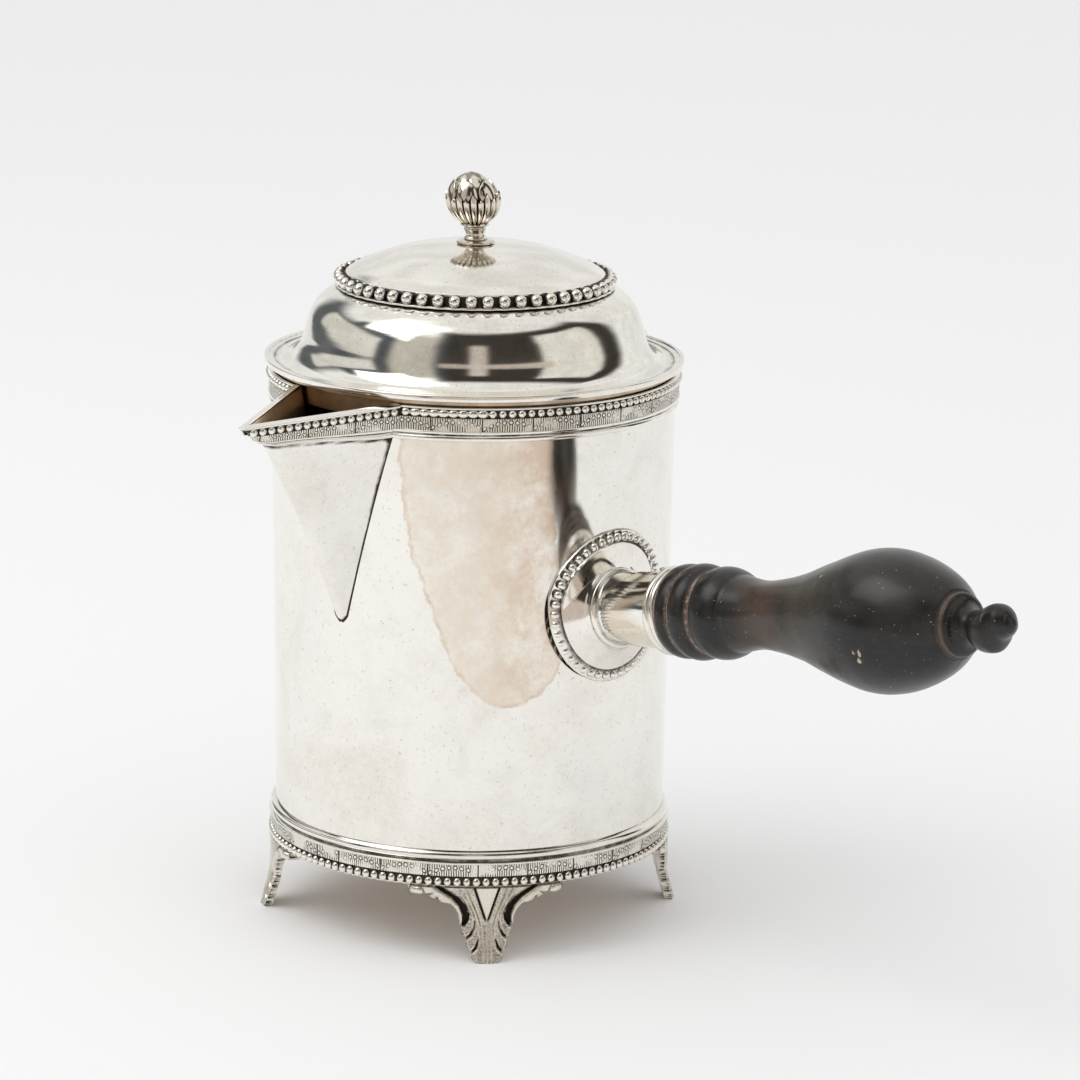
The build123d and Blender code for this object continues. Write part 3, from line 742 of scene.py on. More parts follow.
        # Painted shade: the mesh's shade value, with a little noise, darkens hollows, creases and bead seats
        # towards the deep colour; it also carries the real solder seams.
        dark = desk.ramp(desk.plus(desk.sway(fine, 0.9), desk.mark("grime")), (0.38, 0.0), (0.85, 1.0))
        colour = desk.mix(dark, colour, self.deep)
        rough = desk.plus(rough, desk.times(dark, 0.35))
        if self.turned:
            x, y, _ = desk.parts(desk.place)
            rings = desk.noise(1.0, 2, 0.6, place=self.rings(desk, desk.hypot(x, y)))
            normal = desk.relief(rings, 0.000012, normal, 0.6)
        return desk.close(Base_Color=colour, Metallic=1.0, Roughness=rough, Normal=normal)

    def stained(self, desk: Desk, fine: object, colour: object, rough: object) -> tuple:
        """Lays the tide mark over the silver: a pale wash, its dark line, and brown towards the handle.

        Args:
            desk: the material's layout.
            fine: the fine noise of the tarnish.
            colour: the colour so far.
            rough: the roughness so far.

        Returns:
            The new colour and roughness.
        """
        edge = self.tide(desk)
        inside = desk.span(edge, 0.0004, -0.0004)
        washed = desk.ramp(desk.noise(150, 8, 0.85), (0.40, 0.25), (0.58, 1.0))
        colour = desk.mix(desk.times(inside, washed), colour, (0.82, 0.735, 0.62))
        line = desk.times(desk.span(edge, 0.0004, 0.0), desk.span(edge, -0.0009, -0.0001))
        line = desk.times(line, desk.ramp(fine, (0.35, 0.1), (0.6, 0.8)))
        colour = desk.mix(line, colour, (0.70, 0.55, 0.42))
        patches = desk.times(inside, desk.ramp(desk.noise(95, 7, 0.75), (0.40, 0.0), (0.60, 0.85)))
        brown = desk.times(desk.span(desk.parts(desk.place)[0], 0.030, 0.0465), patches)
        return desk.mix(brown, colour, (0.67, 0.50, 0.37)), desk.plus(rough, desk.times(inside, 0.1))

    @staticmethod
    def rings(desk: Desk, reach: object) -> Socket:
        """A place that changes only with the distance from the axis, for lathe marks.

        Args:
            desk: the material's layout.
            reach: distance from the axis, in metres.

        Returns:
            The place.
        """
        node = desk.add("ShaderNodeCombineXYZ")
        desk.feed(node.inputs[0], desk.times(reach, 3200.0))
        return node.outputs[0]


@dataclass(frozen=True)
class DarkWood:
    """Old dark-stained wood: near black, satin, brown where hands wore it, with pale chips."""

    name: str = "dark_wood"
    stain: tuple = (0.005, 0.005, 0.0055)
    worn: tuple = (0.078, 0.047, 0.033)
    bare: tuple = (0.46, 0.36, 0.25)

    def build(self) -> Material:
        """Lays out grain along the handle, and wear from the mesh's band value.

        Returns:
            The material.
        """
        desk = Desk(bpy.data.materials.new(self.name))
        turn = desk.add("ShaderNodeMapping")
        desk.feed(turn.inputs["Vector"], desk.place)
        turn.inputs["Rotation"].default_value = (0, math.radians(8.9), math.radians(7.0))
        turn.inputs["Scale"].default_value = (0.12, 1.0, 1.0)
        grain = desk.noise(620, 6, 0.65, place=turn.outputs[0], warp=0.6)
        pores = desk.noise(1900, 3, 0.6, place=turn.outputs[0])
        wear = desk.plus(desk.mark("band"), desk.sway(desk.noise(48, 5, 0.6), 0.8))
        faded = desk.ramp(desk.noise(30, 6, 0.7), (0.42, 0.0), (0.62, 1.0))
        colour = desk.mix(faded, self.stain, (0.019, 0.017, 0.015))
        colour = desk.mix(desk.ramp(wear, (0.35, 0.0), (0.95, 0.85)), colour, self.worn)
        rubbed = desk.ramp(desk.noise(900, 5, 0.8), (0.42, 0.0), (0.6, 0.8))
        ridge = desk.times(desk.span(desk.mark("band"), 1.0, 1.5), rubbed)
        colour = desk.mix(ridge, colour, (0.42, 0.34, 0.29))
        colour = desk.mix(desk.ramp(grain, (0.45, 0.0), (0.7, 0.35)), colour, (0.03, 0.022, 0.016))
        scuffs = desk.ramp(desk.noise(160, 6, 0.8, warp=2.0), (0.66, 0.0), (0.80, 0.4))
        colour = desk.mix(scuffs, colour, (0.07, 0.06, 0.052))
        dust = desk.ramp(desk.noise(1700, 2, 0.5), (0.72, 0.0), (0.75, 0.5))
        colour = desk.mix(dust, colour, (0.55, 0.51, 0.47))
        chip = desk.plus(desk.mark("grime"), desk.sway(desk.noise(800, 4), 0.8))
        chip = desk.ramp(chip, (0.48, 0.0), (0.58, 1.0))
        colour = desk.mix(chip, colour, self.bare)
        rough = desk.plus(desk.times(desk.noise(95, 5, 0.7), 0.22), 0.19)
        rough = desk.plus(rough, desk.times(chip, 0.3))
        normal = desk.relief(grain, 0.00006, strength=0.35)
        normal = desk.relief(pores, 0.00003, normal, 0.4)
        normal = desk.relief(desk.times(chip, -1.0), 0.0003, normal, 0.8)
        return desk.close(Base_Color=colour, Roughness=rough, Normal=normal, Coat_Weight=0.3,
                          Coat_Roughness=0.22, Specular_IOR_Level=0.3)


def made(finish: Silver | DarkWood) -> object:
    """A field that builds a finish when the finishes are made."""
    return field(default_factory=finish.build)


@dataclass
class Finishes:
    """Every finish of the jug, built once."""

    wall: Material = made(Silver("silver_wall", Mark.TIDE, tarnish_share=0.42, roughness=0.06, wave=0.3))
    spout: Material = made(Silver("silver_spout", tarnish_share=0.3))
    inside: Material = made(Silver("silver_inside", metal=(0.66, 0.52, 0.37), tarnish=(0.30, 0.20, 0.12),
                                   tarnish_share=0.9, roughness=0.3))
    band: Material = made(Silver("silver_band", Mark.BAND, tarnish_share=0.35))
    bud: Material = made(Silver("silver_bud", tarnish_share=0.9, metal=(0.80, 0.74, 0.64),
                                tarnish=(0.46, 0.37, 0.27), roughness=0.12))
    plate: Material = made(Silver("silver_plate", tarnish_share=0.9, tarnish=(0.84, 0.73, 0.60),
                                  roughness=0.07, wave=0.3))
    trim: Material = made(Silver("silver_trim", tarnish_share=0.35, roughness=0.14))
    cast: Material = made(Silver("silver_cast", Mark.MATTED, tarnish_share=0.5, metal=(0.84, 0.80, 0.72),
                                 roughness=0.24))
    lid: Material = made(Silver("silver_lid", tarnish_share=0.25, roughness=0.09, wave=0.5, turned=True))
    wood: Material = made(DarkWood())


# The jug


@dataclass(frozen=True)
class Can:
    """The body: a can that flares a little, open where the spout meets it, with a plate for a bottom."""

    foot_height: float = 19.3
    wall_height: float = 124.1
    base_radius: float = 50.7
    rim_radius: float = 52.1
    wall: float = 1.1
    lip_wire: float = 0.5
    floor_seat: float = 0.8
    floor_thickness: float = 1.2
    floor_rise: float = 1.6

    @property
    def top(self) -> float:
        """Height of the wall's top."""
        return self.foot_height + self.wall_height

    @property
    def lip(self) -> float:
        """Height of the wire that caps the wall."""
        return self.top + self.lip_wire

    def radius(self, z: Array | float) -> Array | float:
        """Outside radius of the wall at a height."""
        share = (z - self.foot_height) / self.wall_height
        return self.base_radius + (self.rim_radius - self.base_radius) * share

    def build(self, spout: "Beak", finishes: Finishes) -> None:
        """Makes the wall and the bottom plate.

        Formula of the wall: at each height it runs round from one edge of the spout's opening to the
        other; below the opening both edges are at the spout's own turn. The inside follows the same
        grid a wall's thickness further in.

        Args:
            spout: the spout, which cuts its opening.
            finishes: the jug's finishes.
        """
        low, top = spout.opening_low, self.top
        rows = 40
        z = np.concatenate([np.linspace(self.foot_height, low, rows), np.linspace(low, top, rows)])
        is_open = np.arange(len(z)) >= rows
        share = np.linspace(0, 1, 385)[None]
        sides = []
        for inset in (0.0, self.wall):
            radius = self.radius(z) - inset
            edge = np.where(is_open, spout.opening_turn(z, radius), 0.0)[:, None]
            turn = edge + share * (math.tau - 2 * edge)
            sides.append(around(radius[:, None], turn, z[:, None]))
        outer, inner = sides
        # Painted shade: dark lines on the wall along the foot moulding's top and the rim moulding's foot,
        # and the inside a little darker all over.
        moulding_shade_lines = bump(z[:, None], self.foot_height + 9.6, 0.8) + bump(z[:, None], top - 8.6, 0.8)
        skins = [
            Skin(outer, grime=0.6 * moulding_shade_lines),
            Skin(inner, inside_out=True, slot=1, grime=0.15),
            Skin(np.stack([outer[-1], inner[-1]])),
            Skin(np.stack([inner[0], outer[0]])),
            Skin(np.stack([inner[rows:, 0], outer[rows:, 0]], 1), slot=1),
            Skin(np.stack([outer[rows:, -1], inner[rows:, -1]], 1), slot=1),
        ]
        weave("wall", skins, [finishes.wall, finishes.inside], "jug", "body_shell")
        floor = self.foot_height + self.floor_seat
        edge = self.radius(floor) - self.wall
        x = np.linspace(edge, 0, 40)
        rise = self.floor_rise * (1 - (x / edge) ** 2)
        upper = np.stack([x, floor + self.floor_thickness + rise], 1)
        under = np.stack([x[::-1], floor + rise[::-1]], 1)
        # The bottom plate is painted a little darker, as shade inside the can.
        weave("bottom", [lathe(np.concatenate([under, upper]), 160, grime=0.2)], [finishes.inside], "jug",
              "base_plate")


@dataclass(frozen=True)
class Beak:
    """The spout: two flat sides that close on a rounded keel, open above, with a wall all round."""

    can: Can
    root: float = 49.3
    half_angle: float = 23.0
    vee: float = 77.6
    spread: float = 0.263
    foot: float = 85.6
    heel: float = 87.5
    chin: float = 135.1
    chin_nose: float = 3.7
    heel_nose: float = 1.8
    tip_nose: float = 0.2
    tip_height: float = 141.6
    lip_fall: float = 2.3
    wall: float = 1.1
    opening_low: float = 90.7

    @property
    def slope(self) -> float:
        """Sideways run of a side for each millimetre forward."""
        return math.tan(math.radians(self.half_angle))

    @property
    def lip_run(self) -> float:
        """Distance forward from the root to the tip of the lip."""
        return self.spread * (self.tip_height - self.vee) / self.slope

    def nose(self, z: Array) -> Array:
        """Radius of the keel at a height, without any outset."""
        return np.interp(z, [self.foot, self.heel, 102.0, 118.0, self.chin, self.tip_height],
                         [0.12, self.heel_nose, 3.1, 3.8, self.chin_nose, self.tip_nose])

    def slice(self, z: Array, outset: float) -> tuple:
        """Half width at the root, keel centre's distance and keel radius of a level slice.

        Formula: the half width grows with the height above the vee, and with the square root of the
        height in the round lower end; the outset moves a side out square to itself, so it adds
        outset / cos(angle) there.

        Args:
            z: heights.
            outset: distance out from the wall's outside.

        Returns:
            The half widths, distances and radii.
        """
        z = np.asarray(z, float)
        sine, cosine = math.sin(math.radians(self.half_angle)), math.cos(math.radians(self.half_angle))
        toe = np.clip((z - self.foot) / (self.heel - self.foot), 0, 1)
        full = self.spread * (z - self.vee)
        bare = np.where(z < self.heel, self.spread * (self.heel - self.vee) * np.sqrt(toe), full)
        half = bare + outset / cosine
        centre = self.root + bare / self.slope - self.nose(z) / sine
        return half, centre, np.maximum(self.nose(z) + outset, 0.08)

    def meets(self, z: Array, radius: Array, outset: float) -> Array:
        """Turn at which a side meets a circle of that radius.

        Formula: the side's half width shrinks by the slope for each millimetre past the root, so the
        turn whose sine times the radius is that width is found by repeating the step a few times.

        Args:
            z: heights.
            radius: the circle's radius at each.
            outset: distance out from the wall's outside.

        Returns:
            The turns, in radians from the spout.
        """
        half = self.slice(z, outset)[0]
        turn = np.zeros_like(half) + 0.1
        for _ in range(12):
            width = half - (radius * np.cos(turn) - self.root) * self.slope
            turn = np.arcsin(np.clip(width / radius, 0.0, 0.9))
        return turn

    def opening_turn(self, z: Array, radius: Array) -> Array:
        """Half the wall's opening, as a turn in radians."""
        return self.meets(z, radius, -self.wall)

    def shell(self, outset: float, low: float, drop: float, back: float, rows: int = 70) -> Skin:
        """One side of the spout's wall.

        Formula: each level slice runs from the wall along one flat side, round the keel's arc, and back
        along the other; each column ends on the sloping lip, whose height falls with the distance
        forward.

        Args:
            outset: distance out from the wall's outside.
            low: height of its lowest row.
            drop: how far under the lip it ends.
            back: how far inside the can's outside its edges lie.
            rows: rows up the spout.

        Returns:
            The skin, dark along its solder seams, with a painted shadow line under the lip moulding and
            painted shade at its lowest rows.
        """
        u = np.linspace(-1, 1, 97)[None]
        v = np.linspace(0, 1, rows)[:, None] ** 1.6
        top = np.full_like(u, self.can.lip - drop)
        for _ in range(6):
            z = low + v * (top - low)
            points = self.section(z, u, outset, back)
            forward = -points[-1:, :, 1] - self.root
            top = self.can.lip - drop - self.lip_fall * forward / self.lip_run
        # Painted shade: dark along both solder seams, a painted shadow line a little under the lip moulding,
        # and darker at the lowest rows.
        edge = 1 - np.abs(u)
        under = 8.9 - drop - 2.6 * step(0.05, 1.0, forward / self.lip_run) ** 0.8
        grime = 0.9 * bump(edge * 30, 0.0, 1.0) + 0.85 * bump(top - z, under, 0.7) + 0.5 * step(0.03, 0.0, v)
        return Skin(points, grime=grime)

    def section(self, z: Array, u: Array, outset: float, back: float) -> Array:
        """Points of the level slices.

        Args:
            z: their heights.
            u: places round each, from -1 at the left seam to 1 at the right one.
            outset: distance out from the wall's outside.
            back: how far inside the can's outside its edges lie.

        Returns:
            The points.
        """
        sine, cosine = math.sin(math.radians(self.half_angle)), math.cos(math.radians(self.half_angle))
        centre, nose = self.slice(z, outset)[1:]
        radius = self.can.radius(z) - back
        turn = self.meets(z, radius, outset)
        seam_x, seam_y = radius * np.sin(turn), radius * np.cos(turn)
        touch_x, touch_y = nose * cosine, centre + nose * sine
        flat = 0.72
        t = np.clip((np.abs(u) - (1 - flat)) / flat, 0, 1)
        side_x = touch_x + (seam_x - touch_x) * t
        side_y = touch_y + (seam_y - touch_y) * t
        swing = np.clip(np.abs(u) / (1 - flat), 0, 1) * (math.pi / 2 - math.radians(self.half_angle))
        nose_x, nose_y = nose * np.sin(swing), centre + nose * np.cos(swing)
        on_side = np.abs(u) > 1 - flat
        x = np.where(on_side, side_x, nose_x) * np.sign(u)
        y = -np.where(on_side, side_y, nose_y)
        return np.stack(np.broadcast_arrays(x, y, z), -1)

    def build(self, finishes: Finishes) -> None:
        """Makes the spout's wall, with its stained inside.

        Args:
            finishes: the jug's finishes.
        """
        outer = self.shell(0.0, self.foot + 0.02, 0.55, 0.1, rows=110)
        inner = self.shell(-self.wall, self.opening_low, 0.55, self.wall)
        inner.inside_out = True
        inner.slot = 1
        # Painted shade: the spout's inside is darker towards its bottom.
        inner.grime = inner.grime * 0 + 0.28 * (1 - np.linspace(0, 1, inner.points.shape[1]))[None, :, None]
        rim = Skin(np.stack([outer.points[0, -1], inner.points[0, -1]]))
        low = Skin(np.stack([inner.points[0, 0] * [0, 1, 1], inner.points[0, 0]]), inside_out=True, slot=1)
        weave("spout", [outer, inner, rim, low, *self.seams()], [finishes.spout, finishes.inside], "jug",
              "spout_shell")

    def seams(self) -> list:
        """Dark solder lines where the spout meets the wall, right and left.

        Formula: on the unrolled wall, the seam's points and the same points moved square to it by a
        width that grows downwards.

        Returns:
            Both skins.
        """
        z = self.foot + (self.can.top - 8.0 - self.foot) * np.linspace(0, 1, 160) ** 2
        across = self.meets(z, self.can.radius(z), 0.0) * self.can.radius(z)
        way = np.stack([np.gradient(across), np.gradient(z)], 1)
        way /= np.linalg.norm(way, axis=1)[:, None]
        width = np.interp(z, [self.foot, 100, 130], [0.62, 0.45, 0.28])
        lines = []
        for side in (1, -1):
            rows = []
            for reach in (-0.25, 0.0, 0.55, 1.0):
                x, height = across + width * reach * way[:, 1], z - width * reach * way[:, 0]
                radius = self.can.radius(height) + 0.04 * (1 - reach)
                rows.append(around(radius, side * x / self.can.radius(height), height))
            lines.append(Skin(np.stack(rows, 1), grime=1.2, inside_out=side < 0))
        return lines


@dataclass(frozen=True)
class RimMoulding:
    """The moulding round the mouth and along the spout, with its beads."""

    can: Can
    beak: Beak
    height: float = 8.3
    bead_radius: float = 1.12
    bead_pitch: float = 2.45
    bead_drop: float = 1.05
    channel: float = 0.5
    wire_outset: float = 1.05
    taper: float = 0.42
    hinge_half: float = 10.4
    worn_from: tuple = (20.0, 23.0)
    worn_to: tuple = (45.0, 42.0)

    def outline(self) -> tuple:
        """The moulding's outline.

        Returns:
            Its (outset, height above its foot) points, with their painted-shade and band values.
        """
        cap, wire = self.height, self.height + self.can.lip_wire
        swell = arc((0.2, 0.0), (1.0, 0.8), (0.5, 1.6), 9)
        corners = np.array([(0.5, 1.9), (1.1, 2.1), (1.1, 2.7), (0.9, 2.8), (0.9, 6.05), (0.5, 6.2),
                            (0.5, cap), (self.wire_outset, cap), (self.wire_outset, wire),
                            (-self.can.wall, wire), (-self.can.wall, cap), (0.03, cap), (0.03, 0.0)])
        points = loop(np.concatenate([swell, eased(corners, 0.16, 4, closed=False)]))
        outset, rise = points[:, 0], points[:, 1]
        # Painted shade: darker in the crease over the lower swell and in the channel where the beads sit.
        grime = np.where((outset < 0.62) & (outset > 0.2) & (rise > 1.5) & (rise < 2.2), 0.75, 0.0)
        grime += np.where((outset < 0.75) & (outset > 0.2) & (rise > 6.1) & (rise < cap - 0.02), 0.95, 0.0)
        band = np.where((outset > 0.8) & (outset < 0.96) & (rise > 2.75) & (rise < 6.1), 1.0, 0.0)
        return points, grime, band

    def side_frame(self) -> tuple:
        """The frame in which the right strip is laid.

        Returns:
            The corner on the rim, and the outward, up and lip directions.
        """
        slope, spread = self.beak.slope, self.beak.spread
        outward = np.array([1, -slope, -spread])
        outward /= np.linalg.norm(outward)
        lip_up = np.array([0, -self.beak.lip_fall / self.beak.lip_run, 1])
        along = np.cross(outward, lip_up / np.linalg.norm(lip_up))
        along *= -np.sign(along[1]) / np.linalg.norm(along)
        corner = np.array([spread * (self.can.lip - self.beak.vee), -self.beak.root, self.can.lip])
        return corner, outward, np.cross(along, outward), along

    def ends(self, base: Array, along: Array, outset: Array, lift: Array) -> tuple:
        """Length at which each line of the strip starts to bend round the tip, and its bend there.

        Formula: a line leaves the flat side where it touches the circle round the keel's centre whose
        radius is the keel's plus the line's own outset; a line inside the keel runs to the middle plane.

        Args:
            base: a point of each line, at the corner.
            along: direction of the lip.
            outset: outset of each line.
            lift: vector that each line has moved by at the tip, (n, 3).

        Returns:
            The lengths, and the radii of the bends.
        """
        cosine = math.cos(math.radians(self.beak.half_angle))
        length = np.full(len(base), self.beak.lip_run)
        radius = np.zeros(len(base))
        for _ in range(8):
            z = base[:, 2] + along[2] * length + lift[:, 2]
            radius = np.maximum(self.beak.nose(z) + outset * math.hypot(1, self.beak.spread * cosine), 0.0)
            length = (radius * cosine - base[:, 0] - lift[:, 0]) / along[0]
        return length, radius

    def build(self, finishes: Finishes) -> None:
        """Makes the ring, both strips and the beads.

        Formula: the outline is carried round the wall between the spout's corners, and along each side
        of the spout in that side's own frame; each outline point's line is cut where it meets the ring's
        circle behind, and at the tip.

        Args:
            finishes: the jug's finishes.
        """
        points, grime, band = self.outline()
        outset, rise = points[:, 0], points[:, 1]
        corner, outward, up, along = self.side_frame()
        base = corner + outward * outset[:, None] + up * (rise - self.height - self.can.lip_wire)[:, None]
        level = self.can.top - self.height + rise
        reach = self.can.radius(level) + outset
        b = base[:, 0] * along[0] + base[:, 1] * along[1]
        a = along[0] ** 2 + along[1] ** 2
        c = base[:, 0] ** 2 + base[:, 1] ** 2 - reach**2
        root = np.sqrt(np.maximum(b * b - a * c, 0))
        start = (-b - root) / a
        start = np.where(np.abs(start) < 12, start, (-b + root) / a)
        join = base + along * start[:, None]
        turn = np.arctan2(join[:, 0], -join[:, 1])[:, None]
        share = np.linspace(0, 1, 361)[None]
        sweep = turn + share * (math.tau - 2 * turn)
        ring = around(reach[:, None], sweep, level[:, None])
        rise_gap = np.maximum(6.2 - rise, 0.0)[:, None] * self.taper
        ends, bend = self.ends(base, along, outset, rise_gap * up)
        t = np.linspace(0, 1, 61)[None]
        length = start[:, None] + (ends - start)[:, None] * t
        lift = rise_gap * step(0.05, 1.0, t) ** 0.8
        strip = base[:, None] + along * length[..., None] + lift[..., None] * up
        strip[:, 0] = ring[:, 0]
        half_angle = math.radians(self.beak.half_angle)
        swing = (math.pi / 2 - half_angle) * (1 - np.linspace(0, 1, 10)[None, 1:])
        last, bend = strip[:, -1], bend[:, None]
        middle = last[:, 1:2] + bend * math.sin(half_angle)
        turn_in = np.stack(np.broadcast_arrays(bend * np.sin(swing), middle - bend * np.cos(swing),
                                               last[:, 2:3]), -1)
        strip = np.concatenate([strip, turn_in], 1)
        length = np.concatenate([length, length[:, -1:] + bend * (swing[0, 0] + 0.13 - swing)], 1)
        values = {"across": rise[:, None], "grime": grime[:, None], "band": band[:, None]}
        ring_skin = Skin(ring, along=sweep * 53.0, **values)
        right = Skin(strip, along=-length, inside_out=True, **values)
        mirrored = strip * [-1, 1, 1]
        left = Skin(mirrored, along=length + 3.1, **values)
        weave("rim_moulding", [ring_skin], [finishes.band], "jug", "rim_band", crease=50)
        weave("lip_moulding_right", [right], [finishes.band], "jug", "spout_band_right", crease=50,
              lids=[strip[:-1, -1]])
        weave("lip_moulding_left", [left], [finishes.band], "jug", "spout_band_left", crease=50,
              lids=[mirrored[::-1][:-1, -1]])
        self.build_beads(corner, outward, up, along, finishes)

    def build_beads(self, corner: Array, outward: Array, up: Array, along: Array,
                    finishes: Finishes) -> None:
        """Sets the beads in the ring's and the strips' channels.

        Formula: even steps round the wall, left out behind the hinge leaf, and even steps along the lip.
        Beads between turns of about 21 and 44 degrees are worn and run together.

        Args:
            corner: the spout's right corner on the rim.
            outward: direction out of the spout's right side.
            up: direction up that side.
            along: direction of its lip.
            finishes: the jug's finishes.
        """
        z = self.can.top - self.bead_drop
        radius = self.can.radius(z) + self.channel + 0.03
        first = math.degrees(math.asin((corner[0] + 0.2) / radius))
        hinge = math.degrees(math.asin(self.hinge_half / radius))
        turns = []
        for low, high in ((first, 180 - hinge), (180 + hinge, 360 - first)):
            count = round(math.radians(high - low) * radius / self.bead_pitch)
            turns.append(low + (high - low) * (np.arange(count) + 0.5) / count)
        turn = np.radians(np.concatenate(turns))
        out = around(1.0, turn, 0.0)
        up_all = np.tile([0.0, 0, 1], (len(turn), 1))
        worn = step(*self.worn_from, np.degrees(turn)) * step(*self.worn_to, np.degrees(turn))
        uneven = 1 + 0.05 * np.sin(turn * 37.0) + 0.03 * np.sin(turn * 91.0)
        beads = balls(around(radius, turn, z), out, up_all, self.bead_radius,
                      squash=0.97 - 0.22 * worn, stretch=(0.97 + 0.4 * worn) * uneven, tall=0.95)
        weave("rim_beads_round", [beads], [finishes.trim], "jug", "rim_beads", crease=80)
        low, high = 0.9, self.lip_length() - 1.9
        count = round((high - low) / self.bead_pitch)
        place = low + (high - low) * (np.arange(count) + 0.5) / count
        origin = corner + outward * (self.channel + 0.03) - up * (self.can.lip_wire + self.bead_drop)
        centres = origin + along * place[:, None]
        for name, side, node in (("lip_beads_right", 1, "spout_beads_right"),
                                 ("lip_beads_left", -1, "spout_beads_left")):
            flip = np.array([side, 1, 1])
            skin = balls(centres * flip, np.tile(outward * flip, (count, 1)), np.tile(up * flip, (count, 1)),
                         self.bead_radius, squash=0.97, stretch=0.96)
            weave(name, [skin], [finishes.trim], "jug", node, crease=80)

    def lip_length(self) -> float:
        """Length of the spout's lip from its corner to the tip."""
        corner, _, _, along = self.side_frame()
        return corner[0] / -along[0]


@dataclass(frozen=True)
class FootMoulding:
    """The moulding round the foot of the body, with its beads."""

    can: Can
    bead_radius: float = 1.04
    bead_pitch: float = 2.45
    bead_height: float = 1.5
    channel: float = 0.95

    def build(self, finishes: Finishes) -> None:
        """Makes the ring and its beads; the outline is turned about the axis along the flaring wall.

        Args:
            finishes: the jug's finishes.
        """
        corners = np.array([(0.03, 0.1), (0.8, 0.1), (self.channel, 0.4), (self.channel, 2.9), (1.5, 3.1),
                            (1.5, 6.1), (1.8, 6.3), (1.8, 6.7), (0.7, 6.9), (0.7, 7.3)])
        swell = flow([(1.3, 7.6), (1.5, 8.4), (1.2, 9.1), (0.2, 9.5)], 12)
        points = loop(np.concatenate([eased(corners, 0.12, 4, closed=False), swell, [(0.03, 9.5)]]))
        outset, rise = points[:, 0], points[:, 1]
        level = self.can.foot_height + rise
        # Painted shade: darker in the bead channel and in the groove under the upper swell.
        grime = np.where((outset < 1.25) & (outset > 0.2) & (rise > 0.5) & (rise < 3.0), 0.95, 0.0)
        grime += np.where((outset < 0.75) & (rise > 6.85) & (rise < 7.35), 0.8, 0.0)
        band = np.where((outset > 1.4) & (outset < 1.56) & (rise > 3.0) & (rise < 6.15), 1.0, 0.0)
        skin = lathe(np.stack([self.can.radius(level) + outset, level], 1), 360, grime=grime, band=band)
        skin.across = np.broadcast_to((rise - 0.25)[None, :, None], skin.along.shape)
        weave("foot_moulding", [skin], [finishes.band], "jug", "base_band", crease=50)
        z = self.can.foot_height + self.bead_height
        radius = self.can.radius(z) + self.channel + 0.05
        count = round(math.tau * radius / self.bead_pitch)
        turn = math.tau * (np.arange(count) + 0.5) / count
        out = around(1.0, turn, 0.0)
        beads = balls(around(radius, turn, z), out, np.tile([0.0, 0, 1], (count, 1)),
                      self.bead_radius, stretch=1 + 0.04 * np.sin(turn * 53), tall=1.22)
        weave("foot_beads", [beads], [finishes.trim], "jug", "base_beads", crease=80)


